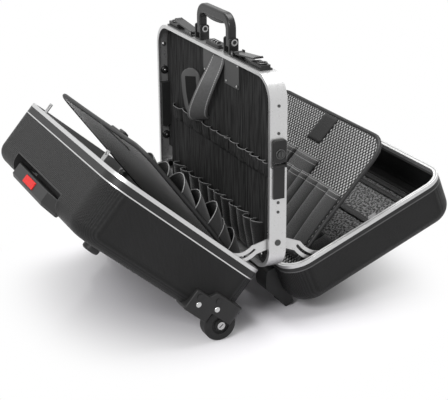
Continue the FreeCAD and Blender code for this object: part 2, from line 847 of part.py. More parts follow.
def straight_bar(a, b, half, x0, x1):
    """A flat bar between two (y, z) points."""
    left, right = side_points([a, b], half), side_points([a, b], -half)
    return side_prism([left[0], left[1], right[1], right[0]], x0, x1)


def stay_arm(pin, axis, open_sign, closing, ratio, x0, x1):
    """A bent arm: a disc on the frame's pivot, a short link and the slotted bar."""
    pivot = (0, stay_pivot_height)
    slot = stay_trace(pin, axis, open_sign, closing, ratio, stay_slot_spare_degrees)
    arm = curved_bar(slot, stay_bar_half, x0, x1)
    link = straight_bar(pivot, slot[-1], stay_bar_half, x0, x1)
    arm = arm.fuse([x_rod(stay_bar_half, x0, x1, *pivot), link])
    arm = arm.removeSplitter().cut(curved_bar(slot, stay_slot_half, x0 - overrun, x1 + overrun))
    return arm.cut(x_rod(stay_pivot_radius + hinge_bore_gap, x0 - overrun, x1 + overrun, *pivot))


def side_rivet(radius, z):
    """A rivet's head on the frame's side."""
    return x_rod(radius, half_width, half_width + rivet_height, 0, z)


def stay_pin(place, wall_x, arm_x):
    """A shell's pins and their heads, which run in the arms' slots."""
    pin = x_rod(stay_pin_radius, arm_x - joint_gap, wall_x, *place)
    head = x_rod(stay_head_radius, arm_x - joint_gap - stay_head_thick, arm_x - joint_gap, *place)
    return both_sides(pin.fuse(head).removeSplitter())


def stay_pieces():
    """The slotted arms and the studs that they turn on; returns each shell's pins."""
    base_pin = (base_y(base_pin_depth), up(base_pin_along))
    lid_pin = (lid_y(lid_pin_depth), up(lid_pin_along))
    base_axis, lid_axis = (base_axis_y, axis_z), (lid_axis_y, axis_z)
    start = turned_point(base_pin, base_axis, base_open_degrees)
    arm = stay_arm(start, base_axis, 1, base_open_degrees, base_stay_ratio, base_arm_x0, base_arm_x1)
    keep("base_stays", both_sides(arm))
    start = turned_point(lid_pin, lid_axis, -lid_open_degrees)
    arm = stay_arm(start, lid_axis, -1, lid_open_degrees, lid_stay_ratio, lid_arm_x0, lid_arm_x1)
    keep("lid_stays", both_sides(arm))
    stud = x_rod(stay_pivot_radius, stay_stud_end, inner_x, 0, stay_pivot_height)
    stud = stud.fuse([x_rod(stay_head_radius, stay_head_x, stay_stud_end, 0, stay_pivot_height),
                      x_rod(stay_head_radius, base_arm_x1 + joint_gap, inner_x, 0, stay_pivot_height)])
    studs = [stud.removeSplitter(), side_rivet(stay_head_radius, stay_pivot_height)]
    for share in rivet_height_shares:
        studs.append(side_rivet(rivet_radius, case_height * share))
    keep("frame_studs", both_sides(*studs))
    return {"base": stay_pin(base_pin, half_width - rim_width, base_arm_x0),
            "lid": stay_pin(lid_pin, half_width - shell_wall, lid_arm_x0)}


def handle_pieces():
    """The carry handle and its brackets; returns one of its pins."""
    pivot_z = case_height + handle_pivot_height
    low = pivot_z - handle_leg_end
    top = case_height + handle_rise
    half_depth = handle_depth / 2
    inner_half = handle_half - handle_leg
    loop = block(-handle_half, handle_half, -half_depth, half_depth, low, top)
    upper = [e for e in edges_along(loop, V(0, 1, 0)) if e.CenterOfMass.z > pivot_z]
    loop = loop.makeFillet(handle_corner, upper)
    gap = block(-inner_half, inner_half, -handle_depth, handle_depth, low - overrun, top - handle_bar)
    upper = [e for e in edges_along(gap, V(0, 1, 0)) if e.CenterOfMass.z > pivot_z]
    loop = loop.cut(gap.makeFillet(handle_inner_corner, upper))
    outside = [e for e in edges_in_plane(loop, 1, half_depth) + edges_in_plane(loop, 1, -half_depth)
               if e.CenterOfMass.z > pivot_z]
    loop = loop.makeFillet(handle_edge, outside)
    bore = x_rod(handle_pin_radius + handle_bore_gap, -case_width, case_width, 0, pivot_z)
    keep("carry_handle", loop.cut(bore))
    pad_top = top - handle_bar
    pad_half_depth = half_depth - handle_edge
    keep("grip_pad", rounded_block(-grip_pad_half, grip_pad_half, -pad_half_depth, pad_half_depth,
                                   pad_top - grip_pad_thick, pad_top, grip_pad_round, V(0, 0, 1)))
    x0 = inner_half - joint_gap - bracket_wall
    x1 = handle_half + joint_gap + bracket_wall
    half = bracket_depth / 2
    bracket = block(x0, x1, -half, half, case_height, case_height + bracket_height)
    bracket = bracket.makeFillet(handle_edge, [e for e in edges_along(bracket, V(1, 0, 0))
                                               if e.CenterOfMass.z > pivot_z])
    bracket = bracket.cut(block(x0 + bracket_wall, x1 - bracket_wall, -half - overrun, half + overrun,
                                case_height + bracket_wall, pivot_z + case_height))
    bracket = bracket.cut(x_rod(handle_pin_radius, 0, case_width, 0, pivot_z))
    keep("handle_brackets", both_sides(bracket))
    pin = x_rod(handle_pin_radius, x0, x1, 0, pivot_z)
    caps = [x_rod(handle_cap_radius, x0 - handle_cap_thick, x0, 0, pivot_z),
            x_rod(handle_cap_radius, x1, x1 + handle_cap_thick, 0, pivot_z)]
    return pin.fuse(caps).removeSplitter()


def pin_pieces(handle_pin):
    """The pins that the carry handle, latch levers, side levers and dials turn on."""
    reach = side_lock_half_depth
    latch = y_rod(latch_pin_radius, latch_pivot_x, -latch_half_depth, latch_half_depth, latch_pivot_z)
    side = y_rod(side_pin_radius, side_pivot_x, -reach, reach, side_lever_pivot)
    dial = x_rod(dial_pin_radius, -lock_half, lock_half, 0, dial_centre_z)
    keep("pivot_pins", both_sides(handle_pin, latch, side) + [dial])


def latch_rest_degrees():
    """The tilt that holds a lever above the near edge of its keeper block."""
    reach_x = latch_length - latch_block_length - latch_pivot_inset
    reach_z = latch_plate + latch_block_height - latch_pivot_height
    lift = math.asin((latch_lever_thick / 2 + latch_rest_gap) / math.hypot(reach_x, reach_z))
    return math.degrees(lift + math.atan2(reach_z, reach_x))


def latch_pieces():
    """A plate with ears and a keeper block, and a raised lever, at each side of the handle."""
    pivot_x, pivot_z = latch_pivot_x, latch_pivot_z
    plate_top = case_height + latch_plate
    half = latch_half_depth
    plate = block(latch_inner, latch_inner + latch_length, -half, half, case_height, plate_top)
    ears = []
    for y0 in (-half, half - latch_ear):
        ear = block(pivot_x - latch_ear_half, pivot_x + latch_ear_half, y0, y0 + latch_ear, plate_top,
                    pivot_z + latch_ear_half)
        ears.append(ear)
    bore = y_rod(latch_pin_radius, pivot_x, -case_height, case_height, pivot_z)
    end_x = latch_inner + latch_length
    keeper = rounded_block(end_x - latch_block_length, end_x, -latch_block_half, latch_block_half, plate_top,
                           plate_top + latch_block_height, latch_plate, V(0, 0, 1))
    keep("latch_plates", both_sides(plate.fuse(ears + [keeper]).removeSplitter().cut(bore)))
    lever_half = latch_lever_half
    arm = block(pivot_x, pivot_x + latch_length * latch_lever_share, -lever_half, lever_half,
                pivot_z - latch_lever_thick / 2, pivot_z + latch_lever_thick / 2)
    arm = arm.fuse(y_rod(latch_knuckle_radius, pivot_x, -lever_half, lever_half, pivot_z)).removeSplitter()
    arm = arm.cut(y_rod(latch_pin_radius + latch_bore_gap, pivot_x, -case_height, case_height, pivot_z))
    arm.rotate(V(pivot_x, 0, pivot_z), V(0, 1, 0), -latch_rest_degrees())
    for name, piece in zip(("near", "far"), both_sides(arm)):
        keep(name + "_latch_lever", piece)


def number_lock_pieces():
    centre_z = dial_centre_z
    top = case_height + lock_height
    housing = rounded_block(-lock_half, lock_half, -lock_half_depth, lock_half_depth, case_height, top,
                            latch_plate, V(0, 0, 1))
    dials = []
    for x in (-dial_pitch, 0, dial_pitch):
        x0, x1 = x - dial_width / 2, x + dial_width / 2
        housing = housing.cut(block(x0 - dial_side_gap, x1 + dial_side_gap, -dial_radius - dial_side_gap,
                                    dial_radius + dial_side_gap, case_height, top + overrun))
        dial = x_rod(dial_radius, x0, x1, 0, centre_z)
        dial = dial.cut(x_rod(dial_pin_radius + dial_bore_gap, x0 - overrun, x1 + overrun, 0, centre_z))
        dials.append(dial)
    housing = housing.cut(x_rod(dial_pin_radius, -lock_half, lock_half, 0, centre_z))
    keep("number_lock", housing)
    for name, dial in zip(("far", "middle", "near"), dials):
        keep(name + "_dial", dial)


def side_lock_pieces():
    """A lock cap with a key barrel, over a lever that hangs on the frame's side."""
    outer_x = half_width + side_lock_thick
    half = side_lock_half_depth
    cap = rounded_block(half_width, outer_x, -half, half, side_lock_low, side_lock_low + side_lock_length,
                        side_lock_round, V(1, 0, 0))
    cap = cap.makeFillet(side_lock_round / 2, edges_in_plane(cap, 0, outer_x))
    barrel_x0 = outer_x - key_sunk
    cap = cap.cut(x_rod(key_radius + key_bore_gap, barrel_x0 - joint_gap, outer_x + overrun, 0, key_height))
    barrel = x_rod(key_radius, barrel_x0, outer_x + key_proud, 0, key_height)
    slot_reach = key_radius - key_slot_width
    slot = block(outer_x + key_proud - key_slot_depth, outer_x + overrun, -key_slot_width / 2,
                 key_slot_width / 2, key_height - slot_reach, key_height + slot_reach)
    pivot_x = side_pivot_x
    ears = []
    for y0 in (-half, half - side_ear_half):
        ears.append(block(half_width, pivot_x + side_knuckle_radius, y0, y0 + side_ear_half,
                          side_lever_pivot - side_knuckle_radius, side_lock_low + side_lock_round))
    cap = cap.fuse(ears).removeSplitter()
    cap = cap.cut(y_rod(side_pin_radius, pivot_x, -case_height, case_height, side_lever_pivot))
    keep("side_locks", both_sides(cap))
    lever_half = half - side_ear_half - joint_gap
    knuckle = y_rod(side_knuckle_radius, pivot_x, -lever_half, lever_half, side_lever_pivot)
    plate = block(half_width + joint_gap, half_width + joint_gap + side_lever_thick, -lever_half,
                  lever_half, side_lever_pivot - side_lever_length, side_lever_pivot)
    lever = plate.fuse(knuckle).removeSplitter()
    bore = y_rod(side_pin_radius + side_bore_gap, pivot_x, -case_height, case_height, side_lever_pivot)
    lever = lever.cut(bore)
    for name, piece in zip(("near", "far"), both_sides(barrel.cut(slot))):
        keep(name + "_key_barrel", piece)
    for name, piece in zip(("near", "far"), both_sides(lever)):
        keep(name + "_side_lever", piece)


def shells():
    recess = recess_cut(recess_wall)
    cutters = [recess] + both_sides(housing_block())
    shell_pieces("base", base_axis_y, -1, base_depth, base_back_radius, base_rim_height, base_turn, cutters)
    shell_pieces("lid", lid_axis_y, 1, lid_depth, lid_back_radius, lid_rim_height, lid_turn, [])


def middle_of_model():
    """The middle of the whole model along Y."""
    whole = Part.makeCompound([solid for solids in nodes.values() for solid in solids])
    box = whole.optimalBoundingBox(False, False)
    return (box.YMin + box.YMax) / 2


frame_pieces()
board_pieces()
shells()
wheel_pieces()
feet_pieces()
telescopic_pieces()
catch_pieces()
flap_pieces(stay_pieces())
lid_lining_pieces()
hinge_pieces()
pin_pieces(handle_pieces())
latch_pieces()
number_lock_pieces()
side_lock_pieces()

# The origin lies on the floor, under the middle of the open case.
origin = V(0, middle_of_model(), wheel_floor_z)
for name, solids in nodes.items():
    for solid in solids:
        solid.translate(-origin)
    shape = solids[0] if len(solids) == 1 else Part.makeCompound(solids)
    shape.exportStep(os.path.join("parts", name + ".step"))
print("nodes", len(nodes), "origin", origin)
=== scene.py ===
"""The opened tool case: finishes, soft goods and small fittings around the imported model."""
import json
import math
import bmesh
import bpy
import numpy as np
from mathutils import Matrix, Vector


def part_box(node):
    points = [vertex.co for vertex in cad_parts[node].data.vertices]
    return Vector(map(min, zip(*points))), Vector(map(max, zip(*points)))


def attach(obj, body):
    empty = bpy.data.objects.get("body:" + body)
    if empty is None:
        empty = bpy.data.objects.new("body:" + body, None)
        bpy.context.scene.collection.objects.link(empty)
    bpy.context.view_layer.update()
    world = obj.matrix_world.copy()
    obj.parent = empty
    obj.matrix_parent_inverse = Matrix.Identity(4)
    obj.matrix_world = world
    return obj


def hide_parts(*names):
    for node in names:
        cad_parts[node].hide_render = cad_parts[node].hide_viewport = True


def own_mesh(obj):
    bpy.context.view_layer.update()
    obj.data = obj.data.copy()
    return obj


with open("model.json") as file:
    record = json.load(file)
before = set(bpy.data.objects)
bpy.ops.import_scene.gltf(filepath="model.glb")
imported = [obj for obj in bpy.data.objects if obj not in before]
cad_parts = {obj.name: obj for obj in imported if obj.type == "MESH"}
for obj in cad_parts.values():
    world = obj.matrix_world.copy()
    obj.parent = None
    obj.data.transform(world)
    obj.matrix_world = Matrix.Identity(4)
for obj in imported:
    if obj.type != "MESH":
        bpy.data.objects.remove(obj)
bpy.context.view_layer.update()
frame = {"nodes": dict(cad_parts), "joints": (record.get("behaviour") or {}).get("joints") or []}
MM = 0.001


# Places

def joint(name):
    """A joint as the frame lists it."""
    return next(j for j in frame["joints"] if j["name"] == name)


class Place:
    """A flat working plane: x along the hinges, u up the panel, v out of its face. It leans by an angle
    towards the base (side -1) or the lid (side 1)."""

    def __init__(self, origin, degrees, side):
        turn = math.radians(degrees)
        self.origin = np.array(origin, float)
        self.x = np.array((1.0, 0.0, 0.0))
        self.u = np.array((0.0, side * math.sin(turn), math.cos(turn)))
        self.v = np.array((0.0, -side * math.cos(turn), math.sin(turn)))

    def __call__(self, x, u, v):
        """World points of panel points in mm: origin + x X + u U + v V, for whole arrays."""
        x, u, v = np.broadcast_arrays(*(np.asarray(part, float) * MM for part in (x, u, v)))
        return self.origin + x[..., None] * self.x + u[..., None] * self.u + v[..., None] * self.v

    def measured(self, y, z):
        """The u and v of a place in metres from its y and z, for numbers or shader values."""
        return [y * float(way[1]) + z * float(way[2]) - float(self.origin @ way)
                for way in (self.u, self.v)]


def opened(name):
    """A joint's position and its whole range in degrees."""
    hinge = joint(name)
    return hinge["pos_m"], hinge["range_deg"][1]


base_pos, base_open = opened("base_hinge")
lid_pos, lid_open = opened("lid_hinge")
base_flap_pos, base_raise = opened("base_flap_fold")
lid_flap_pos, lid_raise = opened("lid_flap_fold")
base_rim_plane = Place(base_pos, base_open, -1)
lid_rim_plane = Place(lid_pos, lid_open, 1)
base_flap_plane = Place(base_flap_pos, base_open - base_raise, -1)
lid_flap_plane = Place(lid_flap_pos, lid_open - lid_raise, 1)
band_low, band_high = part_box("frame_band")
band_middle_y = (band_low[1] + band_high[1]) / 2
board_plane = Place((0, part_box("tool_board")[0][1], band_low[2]), 0, 1)
both_sides = ((1, "near"), (-1, "far"))


# Shader maths

def both_ways(operation):
    """An operator of Wire and its reflected form."""
    return (lambda self, other: self.math(operation, self, other),
            lambda self, other: self.math(operation, other, self))


class Wire:
    """A node's output in one finish; Python's operators on it add Math nodes."""

    def __init__(self, finish, socket):
        self.finish = finish
        self.socket = socket

    def math(self, operation, *terms):
        """A Math node on the given terms."""
        return self.finish.node("ShaderNodeMath", {"operation": operation}, *terms)

    __add__, __radd__ = both_ways("ADD")
    __sub__, __rsub__ = both_ways("SUBTRACT")
    __mul__, __rmul__ = both_ways("MULTIPLY")
    __truediv__, __rtruediv__ = both_ways("DIVIDE")
    __pow__, __rpow__ = both_ways("POWER")
    __mod__, __rmod__ = both_ways("FLOORED_MODULO")
    __lt__, __gt__ = both_ways("LESS_THAN")

    def sine(self):
        return self.math("SINE", self)

    def cosine(self):
        return self.math("COSINE", self)

    def size(self):
        return self.math("ABSOLUTE", self)

    def most(self, other):
        return self.math("MAXIMUM", self, other)

    def ramp(self, low, high):
        """0 below low, 1 above high and smooth between."""
        settings = {"interpolation_type": "SMOOTHSTEP"}
        return self.finish.node("ShaderNodeMapRange", settings, self, low, high, 0.0, 1.0)


class Finish:
    """One material, with a Principled shader and the nodes that feed it."""

    def __init__(self, name, color, roughness, metallic=0.0, gloss=0.22, **more):
        self.material = bpy.data.materials.new(name)
        self.material.use_nodes = True
        self.tree = self.material.node_tree
        self.shader = self.tree.nodes["Principled BSDF"]
        self.feed(Base_Color=color, Roughness=roughness, Metallic=metallic,
                  Specular_IOR_Level=gloss, **more)

    def node(self, kind, settings, *inputs, out=0, **named):
        """A node of one type: its settings, then its inputs by order or by name."""
        node = self.tree.nodes.new(kind)
        for key, value in settings.items():
            setattr(node, key, value)
        for socket, value in zip(node.inputs, inputs):
            self.join(socket, value)
        for key, value in named.items():
            self.join(node.inputs[key.replace("_", " ")], value)
        return Wire(self, node.outputs[out])

    def join(self, socket, value):
        """Links a wire to a socket, or sets the socket's own value."""
        if isinstance(value, Wire):
            self.tree.links.new(value.socket, socket)
        else:
            alpha = (1.0,) if socket.type == "RGBA" else ()
            socket.default_value = (*value, *alpha) if alpha else value

    def feed(self, **inputs):
        """Sets or links the shader's own inputs."""
        for key, value in inputs.items():
            self.join(self.shader.inputs[key.replace("_", " ")], value)

    def coordinates(self, degrees=0.0, source="Object"):
        """The coordinates, turned about X, and their x, y and z."""
        where = self.node("ShaderNodeTexCoord", {}, out=source)
        if degrees:
            turn = (math.radians(degrees), 0.0, 0.0)
            where = self.node("ShaderNodeMapping", {}, Vector=where, Rotation=turn)
        split = self.node("ShaderNodeSeparateXYZ", {}, where)
        return where, [Wire(self, part) for part in split.socket.node.outputs]

    def noise(self, where, scale, detail=3.0, stretch=None):
        """A cloud of 0 to 1, drawn out along the axes that have a small stretch."""
        if stretch:
            where = self.node("ShaderNodeMapping", {}, Vector=where, Scale=stretch)
        return self.node("ShaderNodeTexNoise", {}, Vector=where, Scale=scale, Detail=detail)

    def mix(self, share, first, second):
        """A colour between two colours by a share."""
        factor, first_color, second_color, color = 0, 6, 7, 2
        mixed = self.node("ShaderNodeMix", {"data_type": "RGBA"}, out=color)
        inputs = mixed.socket.node.inputs
        for index, value in ((factor, share), (first_color, first), (second_color, second)):
            self.join(inputs[index], value)
        return mixed

    def bump(self, height, distance, strength=1.0):
        """Relief in the surface; the distance is in metres."""
        relief = self.node("ShaderNodeBump", {}, Height=height, Distance=distance, Strength=strength)
        self.feed(Normal=relief)


def grey(level):
    """A colour without a hue."""
    return (level, level, level)


# Meshes

def add_mesh(name, points, faces, finish, smooth=True, uv=None):
    """One object at the origin from points and faces, with its finish."""
    mesh = bpy.data.meshes.new(name)
    mesh.from_pydata(np.asarray(points).tolist(), [], [list(map(int, f)) for f in faces])
    mesh.update()
    if uv is not None:
        layer = mesh.uv_layers.new(name="UVMap")
        loops = np.empty(len(mesh.loops), dtype=np.int32)
        mesh.loops.foreach_get("vertex_index", loops)
        layer.data.foreach_set("uv", np.asarray(uv, dtype=np.float32).reshape(-1, 2)[loops].ravel())
    piece = bpy.data.objects.new(name, mesh)
    bpy.context.scene.collection.objects.link(piece)
    mesh.polygons.foreach_set("use_smooth", [smooth] * len(mesh.polygons))
    mesh.materials.append(finish.material)
    return piece


def grid_faces(rows, columns, wrap_rows=False, wrap_columns=False):
    """The quads of a grid of points, closed round either way."""
    r = np.arange(rows if wrap_rows else rows - 1)
    c = np.arange(columns if wrap_columns else columns - 1)
    r, c = np.meshgrid(r, c, indexing="ij")
    r2, c2 = (r + 1) % rows, (c + 1) % columns
    faces = np.stack([r * columns + c, r * columns + c2, r2 * columns + c2, r2 * columns + c], axis=-1)
    return faces.reshape(-1, 4)


def add_surface(name, points, finish, wrap_columns=False, uv=None):
    """A surface from a rows by columns grid of points."""
    faces = grid_faces(*points.shape[:2], False, wrap_columns)
    return add_mesh(name, points.reshape(-1, 3), faces, finish, uv=uv)


def thicken(piece, thickness):
    """Gives a sheet its wall, in mm."""
    wall = piece.modifiers.new("wall", "SOLIDIFY")
    wall.thickness = thickness * MM
    wall.offset = 0.0
    return piece


def arc_lengths(points):
    """The distances between neighbours along each row, and along each column, of a grid of points."""
    return np.linalg.norm(np.diff(points, axis=1), axis=2), np.linalg.norm(np.diff(points, axis=0), axis=2)


def cloth_map(points):
    """A flat map in metres: the mean distance sewn across and along the grid."""
    across, along = arc_lengths(points)
    u = np.concatenate([[0], np.cumsum(across.mean(axis=0))])
    v = np.concatenate([[0], np.cumsum(along.mean(axis=1))])
    return np.stack(np.meshgrid(u, v), axis=-1)


def add_cloth(name, points, finish, body, thickness=1.2):
    """A sewn sheet: mapped flat, given its wall, and carried."""
    piece = thicken(add_surface(name, points, finish, uv=cloth_map(points)), thickness)
    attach(piece, body)
    return piece


def tube_points(path, radius, sides, flat, lift):
    """Rings round a path: each ring is radius (cos a A + flat sin a B), A and B square to the path."""
    path = np.asarray(path, float)
    along = np.gradient(path, axis=0)
    along /= np.linalg.norm(along, axis=1)[:, None] + 1e-12
    side = np.cross(along, np.asarray(lift, float))
    side /= np.linalg.norm(side, axis=1)[:, None] + 1e-12
    rise = np.cross(side, along)
    a = np.linspace(0, 2 * np.pi, sides, endpoint=False)[None, :, None]
    return path[:, None] + radius * MM * (np.cos(a) * side[:, None] + flat * np.sin(a) * rise[:, None])


def add_tube(name, path, radius, finish, body, sides=8, flat=1.0, lift=(0, 0, 1), closed=False):
    """A round or flattened cord along a path, with its ends closed by a middle point."""
    rings = tube_points(path, radius, sides, flat, lift)
    rows = len(rings)
    faces = grid_faces(rows, sides, closed, True).tolist()
    points = rings.reshape(-1, 3)
    if not closed:
        points = np.concatenate([points, rings[:1].mean(axis=1), rings[-1:].mean(axis=1)])
        first, last, tip = rows * sides, rows * sides + 1, (rows - 1) * sides
        faces += [(first, j, (j + 1) % sides) for j in range(sides)]
        faces += [(last, tip + (j + 1) % sides, tip + j) for j in range(sides)]
    return carry(add_mesh(name, points, faces, finish), body)


def outward(piece):
    """Turns every face of a closed mesh outwards."""
    shape = bmesh.new()
    shape.from_mesh(piece.data)
    bmesh.ops.remove_doubles(shape, verts=shape.verts, dist=1e-7)
    bmesh.ops.recalc_face_normals(shape, faces=shape.faces)
    shape.to_mesh(piece.data)
    shape.free()


def unit(vector):
    """The same direction with a length of 1."""
    vector = np.asarray(vector, float)
    return vector / np.linalg.norm(vector)


def carry(piece, body):
    """Closes a small fitting's mesh, faces outwards, and sets it on its body."""
    outward(piece)
    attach(piece, body)
    return piece


def add_turned(name, centres, axis, profile, finish, body, sides=14):
    """The same turned form at each centre: r (cos a A + sin a B) + h N for profile points (r, h) in mm."""
    n = unit(axis)
    a = unit(np.cross(n, (0.31, 0.77, 0.55)))
    angle = np.linspace(0, 2 * np.pi, sides, endpoint=False)[:, None]
    ring = np.cos(angle) * a + np.sin(angle) * np.cross(n, a)
    r, h = np.asarray(profile, float).T[:, :, None, None] * MM
    form = r * ring + h * n
    centres = np.asarray(centres, float).reshape(-1, 1, 1, 3)
    faces = grid_faces(len(profile), sides, False, True)
    faces = np.concatenate([faces + k * len(profile) * sides for k in range(len(centres))])
    return carry(add_mesh(name, (centres + form).reshape(-1, 3), faces, finish), body)


def head(radius, rise):
    """The profile of a low domed head, sunk a little into its seat."""
    return [(0, -0.5), (radius, -0.5), (radius, 0.1), (radius * 0.86, rise * 0.6),
            (radius * 0.5, rise * 0.92), (0, rise)]


def collar(inner, outer, low, high, edge=0.5):
    """The profile of a ring with softened edges."""
    return [(inner, low), (outer, low), (outer, high - edge), (outer - edge, high), (inner + edge, high),
            (inner, high - edge), (inner, low)]


def add_plates(name, place, plates, corner, edge, finish, body):
    """Plates with round corners and a bevelled face, each (x, u, half x, half u, foot, face) in mm: rings
    of signs (half - corner) + (corner - inset) (cos a, sin a), closed by their middle points."""
    a = (np.arange(4)[:, None] * np.pi / 2 + np.linspace(0, np.pi / 2, 4)).ravel()
    turn = np.stack([np.cos(a), np.sin(a)], axis=-1)
    signs = np.repeat([(1, 1), (-1, 1), (-1, -1), (1, -1)], 4, axis=0)
    rings = grid_faces(5, len(a), False, True)
    points, faces = [], []
    for index, (x, u, half_x, half_u, foot, face) in enumerate(plates):
        half = np.array((half_x, half_u)) - corner
        for inset, v in ((None, foot), (0, foot), (0, face - edge), (edge, face), (None, face)):
            outline = 0 * signs if inset is None else signs * half + (corner - inset) * turn
            points.append(place(x + outline[:, 0], u + outline[:, 1], v))
        faces.append(rings + index * 5 * len(a))
    piece = add_mesh(name, np.concatenate(points), np.concatenate(faces), finish, False)
    return carry(piece, body)


def seat(node, start, direction):
    """Where a line from a start in mm first meets a CAD node."""
    found, place, _, _ = frame["nodes"][node].ray_cast(Vector(start) * MM, Vector(direction))
    assert found, node
    return place


def finish_node(finish, *nodes):
    """Gives CAD nodes a finish."""
    for name in nodes:
        piece = frame["nodes"][name]
        piece.data.materials.clear()
        piece.data.materials.append(finish.material)


# Finishes

aluminium_grey = 0.58
anodised = 0.78


def shell_finish(name, degrees):
    """Dark moulded plastic with a fine diamond grain."""
    finish = Finish(name, grey(0.035), 0.42, gloss=0.13)
    where, (x, y, z) = finish.coordinates(degrees)
    pitch = 2 * math.pi / (5.2 * MM)
    diamonds = ((x + z + y) * pitch).sine() * ((x - z - y) * pitch).sine()
    cloud = finish.noise(where, 9.0)
    finish.feed(Base_Color=finish.mix(cloud * 0.5 + diamonds * 0.5 + 0.25, grey(0.008), grey(0.025)))
    finish.feed(Roughness=cloud * 0.10 + 0.34 - diamonds * 0.08)
    finish.bump(diamonds, 0.6 * MM, 1.0)
    return finish


def brushed(finish, roughness):
    """Faint lengthwise lines in the gloss and the surface of a metal; gives the lines."""
    where, _ = finish.coordinates()
    lines = finish.noise(where, 260.0, 2.0, (0.06, 1.0, 1.0))
    finish.feed(Roughness=lines * 0.14 + roughness - 0.07)
    finish.bump(lines, 0.03 * MM, 0.4)
    return lines


def aluminium_finish(name, roughness):
    """Satin anodised aluminium with faint lengthwise lines."""
    finish = Finish(name, grey(aluminium_grey), roughness, anodised)
    lines = brushed(finish, roughness)
    finish.feed(Base_Color=finish.mix(lines, grey(aluminium_grey * 0.93), grey(aluminium_grey * 1.04)))
    return finish


def plastic_finish(name, color, roughness, grain=600.0, depth=0.08, gloss=0.22):
    """Moulded plastic with a fine spark-eroded grain."""
    finish = Finish(name, grey(color), roughness, gloss=gloss)
    where, _ = finish.coordinates()
    fine = finish.noise(where, grain)
    broad = finish.noise(where, 14.0)
    finish.feed(Base_Color=finish.mix(broad, grey(color * 0.8), grey(color * 1.25)))
    finish.feed(Roughness=broad * 0.1 + roughness - 0.05)
    finish.bump(fine, depth * MM, 0.5)
    return finish


def rim_finish(name, node, plane, lip):
    """Aluminium with a groove run round it, a fixed way in from its rounded outer edge, whose shade is
    painted in as a dark line of colour; a lip, deeper than 10 mm below the mouth, is a dull dark bead."""
    groove_inset, groove_half, groove_end, lip_depth = 3.2 * MM, 0.4 * MM, 0.9 * MM, 10 * MM
    finish = Finish(name, grey(aluminium_grey), 0.38, anodised)
    brushed(finish, 0.38)
    _, (x, y, z) = finish.coordinates()
    spots = np.array([tuple(v.co) for v in frame["nodes"][node].data.vertices]) - plane.origin
    up = spots @ plane.u
    x_half, low, high = spots[:, 0].max(), up.min(), up.max()
    straight = up[spots[:, 0] > x_half - 0.05 * MM]
    radius = float(straight.min() - low + high - straight.max()) / 2
    along, out = plane.measured(y, z)
    over_x = x.size() - float(x_half - radius)
    over_u = (along - float(low + high) / 2).size() - (float(high - low) / 2 - radius)
    corner = (over_x.most(0.0) ** 2 + over_u.most(0.0) ** 2) ** 0.5
    edge = corner + x.math("MINIMUM", over_x.most(over_u), 0.0) - radius
    # Painted shade: the groove is only a dark line in the colour, without relief.
    groove_shading = 1 - (edge + groove_inset).size().ramp(groove_half, groove_end)
    dark = (out < -lip_depth) * lip
    # Dark for the lip's bead, its own colour, and for the painted shade of the groove.
    bead_and_groove_shading = dark.most(groove_shading * 0.8)
    finish.feed(Base_Color=finish.mix(bead_and_groove_shading, grey(aluminium_grey), grey(0.10)))
    finish.feed(Metallic=anodised - dark * anodised)
    return finish


def tyre_finish(name, centre):
    """Rubber with fine rings turned into its sides."""
    finish = Finish(name, grey(0.018), 0.55)
    where, (_, y, z) = finish.coordinates()
    radius = ((y - centre[1]) ** 2 + (z - centre[2]) ** 2) ** 0.5
    rings = (radius * (2 * math.pi / (2.2 * MM))).sine()
    cloud = finish.noise(where, 90.0)
    finish.feed(Base_Color=finish.mix(cloud, grey(0.012), grey(0.026)))
    finish.feed(Roughness=cloud * 0.15 + 0.45)
    finish.bump(rings, 0.25 * MM, 0.7)
    return finish


def dial_finish(name, centre):
    """A black dial with ten pale marks round its edge."""
    marks, mark_share, mark_reach = 10, 0.4, 1.3 * MM
    finish = Finish(name, grey(0.02), 0.35)
    _, (x, y, z) = finish.coordinates()
    turn = z.math("ARCTAN2", z - centre[2], y - centre[1]) * (marks / (2 * math.pi))
    mark = (turn % 1.0 < mark_share) * ((x - centre[0]).size() < mark_reach)
    finish.feed(Base_Color=finish.mix(mark, grey(0.02), grey(0.75)))
    return finish


def woven(name, color, roughness):
    """Plain woven nylon: over and under threads in both directions, 1.2 mm apart; gives its coordinates."""
    finish = Finish(name, grey(color), roughness, Sheen_Weight=0.25, Sheen_Roughness=0.5)
    where, (x, y, z) = finish.coordinates()
    turn = 2 * math.pi / (1.2 * MM)
    finish.bump(((x + y * 0.5) * turn).sine() * ((z + y * 0.5) * turn).sine(), 0.2 * MM, 0.6)
    return finish, where


def cloth_finish(name, color, roughness):
    """Woven nylon with a slight cloud in its colour."""
    finish, where = woven(name, color, roughness)
    finish.feed(Base_Color=finish.mix(finish.noise(where, 30.0), grey(color * 0.7), grey(color * 1.4)))
    return finish


def plated(name, color, roughness):
    """Metal with a slight cloud in its gloss; gives the cloud."""
    finish = Finish(name, grey(color), roughness, 1.0)
    cloud = finish.noise(finish.coordinates()[0], 60.0)
    finish.feed(Roughness=cloud * 0.12 + roughness - 0.05)
    return finish, cloud


def metal_finish(name, color, roughness):
    """Bare or plated metal, clouded a little."""
    finish, cloud = plated(name, color, roughness)
    finish.feed(Base_Color=finish.mix(cloud, grey(color * 0.9), grey(color)))
    return finish


def pin_finish(centre):
    """A plated pin head with a turned recess inside its bright rim; the recess is painted dark, as shade.
    """
    finish, _ = plated("pivot pin", 0.34, 0.2)
    _, (_, y, z) = finish.coordinates()
    radius = ((y - centre[1]) ** 2 + (z - centre[2]) ** 2) ** 0.5
    recess_shading = 1 - radius.ramp(2.6 * MM, 4.2 * MM)
    # Painted shade: the recess is coloured near black.
    finish.feed(Base_Color=finish.mix(recess_shading, grey(0.34), grey(0.03)))
    finish.bump(recess_shading * -1.0, 0.6 * MM, 0.6)
    return finish


